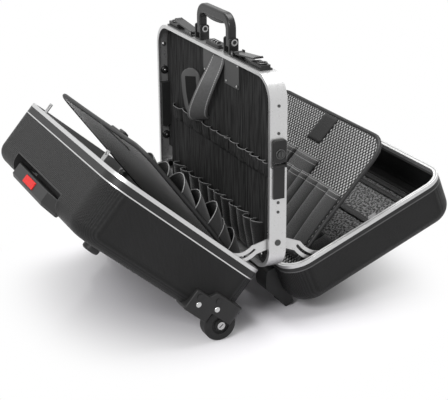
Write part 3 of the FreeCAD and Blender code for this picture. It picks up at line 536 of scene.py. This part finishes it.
def tinted_finish(name, first, second, roughness):
    """Smooth coloured plastic with a faint cloud."""
    finish = Finish(name, first, roughness)
    cloud = finish.noise(finish.coordinates()[0], 120.0)
    finish.feed(Base_Color=finish.mix(cloud, first, second), Roughness=cloud * 0.1 + roughness - 0.05)
    return finish


base_plastic = shell_finish("base shell plastic", -base_open)
lid_plastic = shell_finish("lid shell plastic", lid_open)
aluminium = aluminium_finish("satin aluminium", 0.30)
black_plastic = plastic_finish("black plastic", 0.022, 0.42)
gloss_black = plastic_finish("gloss black", 0.016, 0.22, 200.0, 0.03)
black_enamel = plastic_finish("black enamel", 0.02, 0.26, 300.0, 0.03)
pocket_cloth = cloth_finish("pocket nylon", 0.008, 0.5)
handle_plastic = plastic_finish("handle plastic", 0.012, 0.28, 300.0, 0.05, 0.30)
plate_plastic = plastic_finish("plate plastic", 0.045, 0.35)
steel = metal_finish("brushed steel", 0.45, 0.28)
dark_steel = metal_finish("dark steel", 0.09, 0.3)
chrome = metal_finish("chrome plate", 0.55, 0.12)
red_plastic = tinted_finish("red button", (0.50, 0.006, 0.004), (0.62, 0.010, 0.008), 0.34)


def dress_nodes():
    """Gives every CAD node that stays visible its finish."""
    finish_node(base_plastic, "base_shell")
    finish_node(lid_plastic, "lid_shell")
    finish_node(aluminium, "frame_band", "outer_tubes", "middle_tubes", "inner_tubes", "base_stays",
                "lid_stays")
    finish_node(rim_finish("lid rim", "lid_rim", lid_rim_plane, 1.0), "lid_rim")
    finish_node(rim_finish("base rim", "base_rim", base_rim_plane, 0.0), "base_rim")
    finish_node(black_plastic, "base_rim_band", "lid_rim_band", "wheel_housings", "lid_feet", "base_feet",
                "base_floor", "pull_grip", "frame_corner_caps", "lock_cases", "number_lock")
    finish_node(plate_plastic, "board_plates")
    for name in ("near_dial", "middle_dial", "far_dial"):
        finish_node(dial_finish(name.replace("_", " "), joint(name + "_turn")["pos_m"]), name)
    for _, name in both_sides:
        rubber = tyre_finish(name + " tyre", joint(name + "_wheel_roll")["pos_m"])
        finish_node(rubber, name + "_wheel_tyre", name + "_wheel_hub")
    finish_node(handle_plastic, "carry_handle")
    finish_node(black_enamel, "latch_plates", "side_locks", "near_latch_lever", "far_latch_lever",
                "near_side_lever", "far_side_lever", "handle_brackets")
    finish_node(board_nap, "tool_board")
    finish_node(steel, "frame_hinge_leaves", "wheel_axles", "base_catches", "lid_catches",
                "base_hinge_leaves", "lid_hinge_leaves", "base_rods", "lid_rods")
    finish_node(dark_steel, "frame_studs", "near_key_barrel", "far_key_barrel")
    finish_node(pin_finish(joint("handle_swing")["pos_m"]), "pivot_pins")
    finish_node(red_plastic, "release_button")


# Soft goods

# How unevenly pockets are sewn: their bulges as shares of the mean, how far each leans to one side, and
# in mm the creases near their feet and how far their mouths are off.
bulge_spread = (0.82, 1.12)
lean_spread = 0.2
crease_height = 0.5
mouth_spread = 1.5


def across_pockets(seams, steps=17):
    """x along a row, the bulge share s from -1 to 1 in each pocket, and the pocket's number."""
    s = np.sin(np.linspace(-np.pi / 2, np.pi / 2, steps))
    seams = np.asarray(seams, float)
    middle = (seams[1:] + seams[:-1]) / 2
    half = (seams[1:] - seams[:-1]) / 2
    x = (middle[:, None] + half[:, None] * s[None, :-1]).ravel()
    share = np.tile(s[:-1], len(middle))
    number = np.repeat(np.arange(len(middle)), steps - 1)
    return np.append(x, seams[-1]), np.append(share, 1.0), np.append(number, len(middle) - 1)


def level(x, u):
    """The ground of a row on a flat panel."""
    return 0 * x


def pocket_row(place, seams, low, high, bulge, *, foot, base, dip, seed, power=2.0, rows=15, ground=level):
    """A sewn row of pockets. Its front stands b (1 - |s|^p)^(1/p) (f + (1 - f) t^0.7) out of the panel,
    s across the pocket and t from its foot to its mouth, and the mouth dips where it stands out most.
    Each pocket has its own bulge, given or drawn."""
    x, s, number = across_pockets(seams)
    t = np.linspace(0, 1, rows)[:, None]
    chance = np.random.default_rng(seed)
    count = len(seams) - 1
    if np.isscalar(bulge):
        bulge = bulge * chance.uniform(*bulge_spread, count)
    height = np.array(bulge, float)[number]
    lean = chance.uniform(-lean_spread, lean_spread, count)[number]
    bow = np.clip(1 - np.abs(s) ** power, 0, 1) ** (1 / power)
    out = base + height * bow * (foot + (1 - foot) * t ** 0.7) * (1 + lean * s)
    crease = crease_height * np.sin(9 * t + 5 * number) * bow * (1 - t)
    uneven = chance.uniform(-mouth_spread, mouth_spread, count)[number]
    u = low + (high - low) * t - dip * bow * t ** 3 + uneven * t
    x = x[None, :] + 0 * t
    return place(x, u, out + crease + ground(x, u))


def add_pocket_row(name, body, points, finish, edge_radius=0.7, closing=None):
    """A row of pockets and the tape along its mouths. A row given a closing, as (joint, plane, keep), gets
    its own copies of the row's and the tape's meshes."""
    edge = add_tube(name + "_edge", points[-1], edge_radius, mouth_tape_and_highlight, body, 6)
    row = add_cloth(name, points, finish, body)
    if closing:
        hinge, plane, keep = closing
        for piece in (row, edge):
            tuple(plane(0, 0, 2))
            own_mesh(piece)
    return row


def round_outline(half, low, high, corner):
    """The open outline of a panel: up one side, round two corners and down the other side."""
    a = np.linspace(0, np.pi / 2, 9)
    arc = np.stack([half - corner + corner * np.cos(a), high - corner + corner * np.sin(a)], axis=-1)
    right = np.concatenate([[(half, low)], arc])
    return np.concatenate([right, right[::-1] * (-1, 1)])


def spaced(path, step):
    """The same path with points every step or less."""
    parts = [path[:1]]
    for start, end in zip(path[:-1], path[1:]):
        count = max(1, int(np.ceil(np.linalg.norm(end - start) / step)))
        parts.append(start + (end - start) * np.linspace(0, 1, count + 1)[1:, None])
    return np.concatenate(parts)


def panel_points(place, half, low, high, corner, warp):
    """A panel with two round corners: x = s w(u), w narrowing round the corners, v = warp(x, u)."""
    u = np.concatenate([np.linspace(low, high - corner, 24)[:-1],
                        high - corner + corner * np.sin(np.linspace(0, np.pi / 2, 16))])
    rise = np.clip(u - high + corner, 0, corner)
    inset = corner - np.sqrt(np.clip(corner ** 2 - rise ** 2, 0, None))
    s = np.linspace(-1, 1, 33)
    x = s[None, :] * (half - inset)[:, None]
    u = u[:, None] + 0 * x
    return place(x, u, warp(x, u)), np.stack([x, u], axis=-1) * MM


def add_panel(name, node, place, body, half, low, high, corner, warp, finish):
    """A flap: its stiff covered board and the tape that binds its edge."""
    points, flat = panel_points(place, half, low, high, corner, warp)
    board = thicken(add_surface(name, points, finish, uv=flat), 4.6)
    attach(board, body)
    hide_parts(node)
    outline = spaced(round_outline(half, low, high, corner), 12)
    x, u = outline[:, 0], outline[:, 1]
    add_tube(name + "_binding", place(x, u, warp(x, u)), 4.2, edge_tape, body, 10, 0.95, place.v)
    return board


def warp_of(reach, lift, high):
    """The panel's slight twist: its near side stands up to lift towards the frame."""
    def warp(x, u):
        return lift * np.clip((x + reach) / (2 * reach), 0, 1) ** 1.5 * np.clip(u / (0.35 * high), 0, 1)
    return warp


def board_nap_finish():
    """Needled lining whose nap runs up and down."""
    finish = Finish("board nap", grey(0.02), 0.85)
    where, _ = finish.coordinates()
    nap = finish.noise(where, 420.0, 4.0, (1.0, 1.0, 0.05)).ramp(0.30, 0.70)
    finish.feed(Base_Color=finish.mix(nap, grey(0.003), grey(0.036)))
    finish.bump(nap, 0.4 * MM, 0.6)
    return finish


def behind_panel(finish, place, reach, lift, high):
    """1 on the back of a panel that is twisted as warp_of twists it, else 0."""
    _, (x, y, z) = finish.coordinates()
    up, out = place.measured(y, z)
    share = finish.node("ShaderNodeClamp", {}, (x + reach * MM) / (2 * reach * MM)) ** 1.5
    rise = finish.node("ShaderNodeClamp", {}, up / (0.35 * high * MM))
    return (out - share * rise * lift * MM) < 0


def dimpled_finish(name, dark, light, back=None, twisted=None):
    """Covered board with staggered dashes that stand proud, light on a dark ground; on the back of a
    twisted panel the cloth can be painted much paler, as painted light on that side."""
    dash_width, dash_height = 4.4 * MM, 5.4 * MM
    finish = Finish(name, grey(light), 0.4)
    _, (x, u, _) = finish.coordinates(source="UV")
    dashes = (x * (math.pi / dash_width)).cosine() * (u * (math.pi / dash_height)).cosine()
    shown = dashes.ramp(-0.05, 0.45)
    cloth = finish.mix(shown, grey(dark), grey(light))
    if twisted:
        # Painted light: the back is coloured far paler than the front of the same board.
        painted_lit_cloth = finish.mix(shown, grey(back), grey(0.95))
        cloth = finish.mix(behind_panel(finish, *twisted), cloth, painted_lit_cloth)
    finish.feed(Base_Color=cloth, Roughness=0.62 - shown * 0.28)
    finish.bump(dashes.ramp(-0.3, 0.9), 0.9 * MM, 0.7)
    return finish


def hemmed_finish(name, color, points):
    """Woven nylon with two rows of stitches under the mouth."""
    stitch_pitch, stitch_length, stitch_half, drops = 3 * MM, 2 * MM, 0.7 * MM, (3 * MM, 12 * MM)
    height = float(arc_lengths(points)[1].sum(axis=0).mean())
    finish, _ = woven(name, color, 0.55)
    _, (x, u, _) = finish.coordinates(source="UV")
    rows = sum((u - (height - drop)).size() < stitch_half for drop in drops)
    stitches = rows * (x % stitch_pitch < stitch_length)
    finish.feed(Base_Color=finish.mix(stitches, grey(color), grey(0.26)))
    return finish


edge_tape = plastic_finish("edge tape", 0.022, 0.45, 900.0, 0.1)
# Pale grey: partly the tape's own colour, partly a painted highlight along the pocket mouths.
mouth_tape_and_highlight = plastic_finish("mouth tape and highlight", 0.22, 0.5, 900.0, 0.1)
board_nap = board_nap_finish()
dimpled = dimpled_finish("dimpled board", 0.016, 0.38)
base_twist = (206, 7, 316)
# The base flap's back gets the paler cloth, painted light.
dimpled_lining = dimpled_finish("dimpled lining", 0.03, 0.40, 0.34, (base_flap_plane, *base_twist))

base_warp = warp_of(*base_twist)
lid_warp = warp_of(206, 6, 290)
add_panel("base_flap_board", "base_flap", base_flap_plane, "base_flap", 203, -4, 314, 40, base_warp,
          dimpled_lining)
add_panel("lid_flap_board", "lid_flap", lid_flap_plane, "lid_flap", 206, -4, 288, 42, lid_warp, dimpled)

loop_seams = (-201, -158, -108, -68, -29, 1, 41, 51, 84, 119, 141, 165, 188, 203)
pouch_seams = (-184, -150, -118, -74, -34, -1, 31, 60, 94, 127, 156, 180)
loop_points = pocket_row(board_plane, loop_seams, 163, 189, 8.5, power=2.4, foot=0.6, base=0.9, dip=0.5,
                         seed=4, rows=9)
pouch_points = pocket_row(board_plane, pouch_seams, 8, 72, 17.5, foot=0.3, base=0.9, dip=-3, seed=5,
                          rows=17)
add_pocket_row("board_loops", "frame", loop_points, board_nap)
board_pouches = add_pocket_row("board_pouches", "frame", pouch_points, pocket_cloth)
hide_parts("board_pockets")


def base_flap_pouches():
    """Rows of wide gaping pouches on the face of the base flap that looks at the frame, each with the
    height of its mouth, its depth and its bulges."""
    rows = ((204, 46, (18, 24, 20, 27, 29, 28)), (163, 48, (18, 26, 22, 28, 26, 30)),
            (126, 52, (20, 24, 28, 24, 33, 40)), (91, 54, (22, 28, 24, 30, 28, 32)),
            (58, 50, (24, 26, 30, 28, 33, 37)))
    chance = np.random.default_rng(12)
    for index, (mouth, deep, bulges) in enumerate(rows):
        seams = np.linspace(-186, 197, 7) + np.append(chance.uniform(-6, 6, 6), 0)
        points = pocket_row(base_flap_plane, seams, mouth - deep, mouth, bulges, power=1.8, foot=0.3,
                            base=3.0, dip=-6, seed=20 + index, ground=base_warp)
        add_pocket_row("flap_pouches_%d" % (index + 1), "base_flap", points, pocket_cloth,
                                   0.8, ("base_hinge", base_flap_plane, 0.3))
    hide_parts("base_flap_loops")


def lid_flap_pouches():
    """Two rows of flat stitched pockets on the lid flap, the lower one of tall narrow ones."""
    upper_seams = (-188, -132, -100, -54, -12, -4, 78)
    lower_seams = (-188, -150, -112, -76, -42, -10, 26, 61, 87, 126, 166, 202)
    upper = pocket_row(lid_flap_plane, upper_seams, 60, 200, 9, power=2.6, foot=0.4, base=3.0, dip=3,
                       seed=31, ground=lid_warp)
    lower = pocket_row(lid_flap_plane, lower_seams, 26, 166, 10, power=2.4, foot=0.35, base=4.6, dip=3,
                       seed=33, rows=17, ground=lid_warp)
    made = [add_pocket_row("lid_flap_pockets_" + name, "lid_flap", points,
                           hemmed_finish(name + " hem", 0.022, points))
            for name, points in (("upper", upper), ("lower", lower))]
    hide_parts("lid_flap_pockets")


def lid_hook_patch():
    """The patch of hooks at the lid flap's top edge, cut a little askew."""
    left, foot, width, height, skew = -8, 226, 49, 58, 2
    s, t = np.meshgrid(np.linspace(0, 1, 9), np.linspace(0, 1, 11))
    x, u = left + width * s + skew * t, foot + height * t
    hooks = Finish("hook patch", grey(0.02), 0.8)
    fuzz = hooks.noise(hooks.coordinates()[0], 900.0, 2.0)
    hooks.feed(Base_Color=hooks.mix(fuzz, grey(0.004), grey(0.05)))
    hooks.bump(fuzz, 0.8 * MM, 0.8)
    add_cloth("lid_hook_patch", lid_flap_plane(x, u, lid_warp(x, u) + 3.0), hooks, "lid_flap",
              thickness=1.4)


def smooth_through(knots, values, t):
    """Cubic Hermite through the knots with slopes from their neighbours."""
    slopes = np.gradient(values, knots)
    k = np.clip(np.searchsorted(knots, t, side="right") - 1, 0, len(knots) - 2)
    span = knots[k + 1] - knots[k]
    p = (t - knots[k]) / span
    return ((2 * p ** 3 - 3 * p ** 2 + 1) * values[k] + (p ** 3 - 2 * p ** 2 + p) * span * slopes[k]
            + (3 * p ** 2 - 2 * p ** 3) * values[k + 1] + (p ** 3 - p ** 2) * span * slopes[k + 1])


def band_points(place, path, width, twist, lean, rows=40, columns=9, tip=0):
    """A band along a smooth path through panel points: each row is width (cos T, lean, -sin T) across,
    with the twist T going evenly from start to end, and its end rounded over a tip length."""
    path = np.asarray(path, float)
    knots = np.linspace(0, 1, len(path))
    t = np.linspace(0, 1, rows)
    line = np.stack([smooth_through(knots, path[:, k], t) for k in range(3)], axis=-1)
    s = np.linspace(-0.5, 0.5, columns)
    turn = np.radians(twist[0] + (twist[1] - twist[0]) * t)
    across = np.stack([np.cos(turn), lean + 0 * t, -np.sin(turn)], axis=-1)
    left = np.linalg.norm(line - line[-1], axis=1)
    near_tip = np.clip(1 - left / tip, 0, 0.97) if tip else 0 * left
    reach = width * np.sqrt(1 - near_tip ** 2)[:, None, None] * s[None, :, None]
    points = line[:, None] + reach * across[:, None]
    return place(points[..., 0], points[..., 1], points[..., 2])


def strap_finish(name, color, light, width):
    """A glossy coated band, stitched along both edges."""
    edge_gap, stitch_half, stitch_pitch, stitch_length = 4, 0.9 * MM, 4.4 * MM, 3.0 * MM
    finish = Finish(name, grey(color), 0.28)
    where, (x, u, _) = finish.coordinates(source="UV")
    off_middle = (x - width / 2 * MM).size()
    beside = (off_middle - (width / 2 - edge_gap) * MM).size() < stitch_half
    stitches = beside * (u % stitch_pitch < stitch_length)
    cloud = finish.noise(where, 180.0)
    coat = finish.mix(cloud, grey(color), grey(color * 1.6))
    finish.feed(Base_Color=finish.mix(stitches, coat, grey(light)), Roughness=cloud * 0.12 + 0.24)
    finish.bump(cloud * 0.3 - stitches * 0.6, 0.3 * MM, 0.6)
    return finish


def hook_finish(name, rim, middle, width, length):
    """A band with a bright rim and a rough patch of hooks down its middle, short of its round end."""
    rim_width, end_gap = 7.5, 12
    finish = Finish(name, grey(middle), 0.8)
    where, (x, u, _) = finish.coordinates(source="UV")
    off_middle = (x - width / 2 * MM).size()
    patch = (off_middle < (width / 2 - rim_width) * MM) * (u < (length - end_gap) * MM)
    fuzz = finish.noise(where, 1200.0, 2.0)
    hooks = finish.mix(fuzz, grey(middle * 0.3), grey(middle * 2))
    finish.feed(Base_Color=finish.mix(patch, grey(rim), hooks), Roughness=patch * 0.4 + 0.5)
    finish.bump(fuzz * patch, 0.8 * MM, 0.8)
    return finish


def board_strap():
    """The hanging band: from behind the cover plates down, and its free end back up beside it. Both get
    their own copies of their meshes."""
    down_path = [(9, 332, 3), (6, 312, 9), (-8, 275, 20), (-34, 232, 24), (-50, 208, 20), (-58, 196, 9)]
    up_path = [(-64, 196, 4), (-80, 208, 10), (-88, 234, 13), (-92, 262, 14), (-95, 286, 13)]
    down = band_points(board_plane, down_path, 41, (6, 50), 0.1)
    up = band_points(board_plane, up_path, 38, (48, 40), 0.05, rows=44, tip=17)
    strap = add_cloth("board_strap", down, strap_finish("strap", 0.10, 0.50, 40), "frame",
                      thickness=2.0)
    end = add_cloth("board_strap_end", up, hook_finish("hook band", 0.10, 0.012, 36, 98), "frame",
                    thickness=2.0)
    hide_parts("board_straps")
    for piece in (strap, end):
        tuple(board_plane(0, 0, 1))
        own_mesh(piece)


def lid_linings():
    """The felt on the lid's back, the tall pockets by the hinges and the ledge bands above."""
    half_width, felt_depth, band_depth = 204, -84.6, -81.5
    felt = Finish("grey felt", grey(0.16), 0.9)
    where, _ = felt.coordinates(source="UV")
    fuzz = felt.noise(where, 230.0, 6.0).ramp(0.42, 0.60)
    felt.feed(Base_Color=felt.mix(fuzz, grey(0.03), grey(0.20)))
    felt.bump(fuzz, 0.5 * MM, 0.7)
    u, x = np.meshgrid(np.linspace(40, 316, 21), np.linspace(-half_width, half_width, 25), indexing="ij")
    lining = add_cloth("lid_felt", lid_rim_plane(x, u, felt_depth), felt, "lid",
                       3.0)
    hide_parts("felt_panel")
    points = pocket_row(lid_rim_plane, np.linspace(-196, 196, 8), 44, 150, 14, power=2.4, foot=0.4,
                        base=-82.4, dip=3, seed=41)
    sack = add_pocket_row("lid_sack_pockets", "lid", points, pocket_cloth)
    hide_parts("lid_sack")
    for index, (middle, width) in enumerate(((228, 13), (304, 10.5), (322, 10.5))):
        u, x = np.meshgrid(np.linspace(-width / 2, width / 2, 5), np.linspace(-half_width, half_width, 31),
                           indexing="ij")
        v = band_depth + 1.4 * np.cos(u / width * np.pi)
        add_cloth("lid_band_%d" % (index + 1), lid_rim_plane(x, middle + u, v), pocket_cloth, "lid",
                  thickness=1.4)


base_flap_pouches()
lid_flap_pouches()
lid_hook_patch()
board_strap()
lid_linings()
dress_nodes()


# Small fittings

def frame_fittings():
    """Screws and knobs on the inside of the frame's band, rings round its locks, and the screws and rivets
    of its corner caps and cover plates."""
    inside, knob_face = -237.4 * MM, 4.4 * MM
    screws = [(inside, y * MM, z * MM) for y, z in ((-5.0, 404), (-4.0, 239))]
    add_turned("band_screws", screws, (1, 0, 0), head(4.5, 2.2), steel, "frame")
    knobs = np.array([(inside, -4.5 * MM, z * MM) for z in (352, 218)])
    add_turned("band_knobs", knobs, (1, 0, 0), head(8.5, 4.5), gloss_black, "frame", 18)
    add_turned("knob_screws", knobs + (knob_face, 0, 0), (1, 0, 0), head(2.6, 1.2), chrome, "frame")
    lock = joint("near_key_turn")["pos_m"]
    for side, name in both_sides:
        centre = (side * 247 * MM, lock[1], lock[2])
        add_turned(name + "_lock_ring", [centre], (side, 0, 0), collar(6.4, 9.0, -0.5, 1.4), dark_steel,
                   "frame", 24)
    caps = [seat("frame_corner_caps", (x, -60, 127), (0, 1, 0)) for x in (205, -205)]
    add_turned("corner_screws", caps, (0, -1, 0), head(4.0, 1.8), steel, "frame")
    rivets = [seat("board_plates", (x, -60, z), (0, 1, 0))
              for x, z in ((-55, 395), (82, 395), (36, 395), (82, 431))]
    add_turned("plate_rivets", rivets, (0, -1, 0), head(2.4, 1.2), steel, "frame", 10)


def latch_fittings():
    """The latch levers' tips, which curl up along x + 6 sin a, z + 6 (1 - cos a) and narrow as they rise,
    and the wire hooks, ovals that lie on the latch plates."""
    curl_radius, hook_x = 6, 180
    for side, name in both_sides:
        low, high = (np.array(c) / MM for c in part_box(name + "_latch_lever"))
        y = (low[1] + high[1]) / 2
        tip_x = side * (max(abs(low[0]), abs(high[0])) - 0.6)
        a, s = np.meshgrid(np.radians(np.linspace(-8, 62, 9)), np.linspace(-1, 1, 7), indexing="ij")
        x = tip_x + side * curl_radius * np.sin(a)
        z = high[2] - 1.25 + curl_radius * (1 - np.cos(a))
        half = 9.4 - 2.5 * (a / a.max()).clip(0, 1) ** 2
        tip = np.stack([x, y + s * half, z], axis=-1) * MM
        curl = thicken(add_surface(name + "_latch_tip", tip, black_enamel), 2.3)
        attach(curl, name + "_latch_lever")
        rest = seat("latch_plates", (side * hook_x, y, 490), (0, 0, -1))[2] / MM + 1.2
        t = np.linspace(0, 2 * np.pi, 28, endpoint=False)
        hook = np.stack([side * (hook_x + 7 * np.cos(t)), y + 7.5 * np.sin(t), rest + 0 * t], axis=-1) * MM
        add_tube(name + "_latch_hook", hook, 1.6, dark_steel, "frame", 8, closed=True)


def grip_swell():
    """The ribbed swelling under the handle's bar: with b = (1 - (x / 42)^2)^0.5, its half width is
    6.4 b^0.3 (0.6 + 0.4 b) and its half height (1 + 5.2 b) b^0.3, with a rib every 4.2 mm."""
    reach, rib_pitch, rib_height = 42, 4.2, 0.10
    low, high = (np.array(c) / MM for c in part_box("grip_pad"))
    x = reach * np.sin(np.linspace(-np.pi / 2, np.pi / 2, 81))[:, None]
    a = np.linspace(0, 2 * np.pi, 24, endpoint=False)[None, :]
    bow = np.sqrt(np.clip(1 - (x / reach) ** 2, 0, None))
    ribs = 1 + rib_height * np.sin(2 * np.pi * x / rib_pitch) * bow
    y = (low[1] + high[1]) / 2 + 6.4 * bow ** 0.3 * np.cos(a) * (0.6 + 0.4 * bow)
    z = high[2] - 0.5 + (1.0 + 5.2 * bow) * np.sin(a) * ribs * bow ** 0.3
    points = np.stack([x + 0 * a, y, z], axis=-1) * MM
    pad = carry(add_surface("grip_swell", points, handle_plastic, True), "carry_handle")
    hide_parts("grip_pad")


def wheel_fittings():
    """Screws in the wheel housings, and slots in the axle heads drawn as thin black plates, painted shade;
    each slot is turned by 37 degrees.
    """
    cosine, sine = 0.8, 0.6
    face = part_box("wheel_axles")[1][0] / MM
    for side, name in both_sides:
        screws = [seat("wheel_housings", (side * 300, y, z), (-side, 0, 0))
                  for y, z in ((-154.5, 78.5), (-120.6, 62))]
        add_turned(name + "_housing_screws", screws, (side, 0, 0), head(5.4, 2.0), chrome, "base")
        hub = np.array(joint(name + "_wheel_roll")["pos_m"]) / MM

        def slot_place(x, u, v, side=side, hub=hub):
            x, u, v = np.broadcast_arrays(x, u, v)
            y, z = hub[1] + cosine * x - sine * u, hub[2] + sine * x + cosine * u
            return np.stack([side * v, y, z], axis=-1) * MM
        # Painted shade: a thin black plate stands for the dark of the slot.
        add_plates(name + "_axle_slot_shade", slot_place, [(0, 0, 4.5, 0.9, face - 0.4, face + 0.12)], 0.6, 0.05,
                   gloss_black, "base")


def shell_fittings():
    """The clip on the base flap's top edge, its strap behind, and the slotted tags of the side catches,
    each slot a black plate, painted shade.
    """
    add_plates("flap_clip", base_flap_plane, [(84, 310, 22, 7, 2, 10), (101, 309, 11, 6, 8, 14)], 3, 1.5,
               gloss_black, "base_flap")
    s, t = np.meshgrid(np.linspace(-5.4, 5.4, 5), np.linspace(0, 1, 24))
    x, u = 28 + 64 * t + 0.52 * s, 314 - 38 * t + 0.85 * s
    add_cloth("flap_clip_strap", base_flap_plane(x, u, base_warp(x, u) - 3.2), pocket_cloth, "base_flap",
              thickness=1.4)
    catch_x = 231
    low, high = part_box("lid_catches")
    along = lid_rim_plane.measured((low[1] + high[1]) / 2, (low[2] + high[2]) / 2)[0] / MM
    for side, name in both_sides:
        def tag_place(x, u, v, side=side):
            return lid_rim_plane(side * (catch_x - np.asarray(v, float)), along + x, u)
        add_plates(name + "_catch_tag", tag_place, [(0, -1.2, 8.5, 7.2, 0, 1.6)], 2, 0.4, chrome, "lid")
        # Painted shade: a black plate stands for the dark of the tag's slot.
        add_plates(name + "_catch_slot_shade", tag_place, [(0, 2.2, 5.2, 1.3, -0.2, 1.8)], 0.8, 0.1, gloss_black,
                   "lid")


frame_fittings()
latch_fittings()
grip_swell()
wheel_fittings()
shell_fittings()


# Camera, floor and light

seen_rays = ("Is Camera Ray", "Is Glossy Ray", "Is Transmission Ray")


def add_camera():
    """The camera that fits the photograph: azimuth, height and roll, measured from the frame's foot."""
    azimuth, elevation, roll = math.radians(64.63), math.radians(20.83), math.radians(-0.41)
    focal_pixels, image_width, sensor = 1209.87, 448, 36.0
    stand = Vector((1.9180, -0.8963, 0.8585)) + Vector((0, band_middle_y, band_low[2]))
    forward = Vector((-math.sin(azimuth) * math.cos(elevation), math.cos(azimuth) * math.cos(elevation),
                      -math.sin(elevation)))
    right = Vector((math.cos(azimuth), math.sin(azimuth), 0))
    up = right.cross(forward)
    right, up = (right * math.cos(roll) + up * math.sin(roll), up * math.cos(roll) - right * math.sin(roll))
    data = bpy.data.cameras.new("camera")
    data.sensor_width = sensor
    data.lens = focal_pixels * sensor / image_width
    data.clip_end = 50
    camera = bpy.data.objects.new("camera", data)
    turn = Matrix((right, up, -forward)).transposed().to_4x4()
    camera.matrix_world = Matrix.Translation(stand) @ turn
    bpy.context.scene.collection.objects.link(camera)
    bpy.context.scene.camera = camera


def add_floor():
    """A wide pale floor: round the case it takes the real light, so it keeps the shadow and a faint
    reflection, and further out it fades to plain white."""
    finish = Finish("floor", (0.80, 0.785, 0.82), 0.14)
    where, (x, y, _) = finish.coordinates()
    finish.feed(Roughness=finish.noise(where, 3.0) * 0.02 + 0.13)
    far = ((x ** 2 + y ** 2) ** 0.5).ramp(0.17, 0.46)
    path = finish.node("ShaderNodeLightPath", {}).socket.node.outputs
    camera, glossy, through = (Wire(finish, path[ray]) for ray in seen_rays)
    seen = camera.most(glossy.most(through))
    white = finish.node("ShaderNodeEmission", {}, Color=(1, 1, 1), Strength=1.0)
    real = Wire(finish, finish.shader.outputs[0])
    blend = finish.node("ShaderNodeMixShader", {}, far * seen, real, white)
    finish.join(finish.tree.nodes["Material Output"].inputs["Surface"], blend)
    size = 30.0
    points = [(-size, -size, 0), (size, -size, 0), (size, size, 0), (-size, size, 0)]
    add_mesh("floor", points, [(0, 1, 2, 3)], finish, False)


def add_light(name, place, target, size, power):
    """A plain rectangular light aimed at a target."""
    data = bpy.data.lights.new(name, "AREA")
    data.shape = "RECTANGLE"
    data.size, data.size_y = size
    data.energy = power
    lamp = bpy.data.objects.new(name, data)
    aim = Vector(target) - Vector(place)
    lamp.matrix_world = Matrix.Translation(place) @ aim.to_track_quat("-Z", "Y").to_matrix().to_4x4()
    bpy.context.scene.collection.objects.link(lamp)


def add_world():
    """A plain white sky, dimmer to the surfaces than to the camera."""
    surface_strength = 0.42
    world = bpy.data.worlds.new("sky")
    world.use_nodes = True
    bpy.context.scene.world = world
    nodes, links = world.node_tree.nodes, world.node_tree.links
    path = nodes.new("ShaderNodeLightPath")
    last = None
    for ray in seen_rays:
        strength = nodes.new("ShaderNodeMath")
        strength.operation = "MAXIMUM"
        strength.inputs[1].default_value = surface_strength
        links.new(path.outputs[ray], strength.inputs[0])
        if last:
            links.new(last, strength.inputs[1])
        last = strength.outputs[0]
    links.new(last, nodes["Background"].inputs["Strength"])
    nodes["Background"].inputs["Color"].default_value = (1, 1, 1, 1)


bpy.context.scene.view_settings.view_transform = "Standard"
add_camera()
add_floor()
add_world()
add_light("high light", (-0.3, 0.3, 2.6), (0, 0, 0.2), (2.2, 1.8), 84)
add_light("front light", (1.25, -1.6, 1.55), (0, 0, 0.25), (0.8, 0.7), 30)
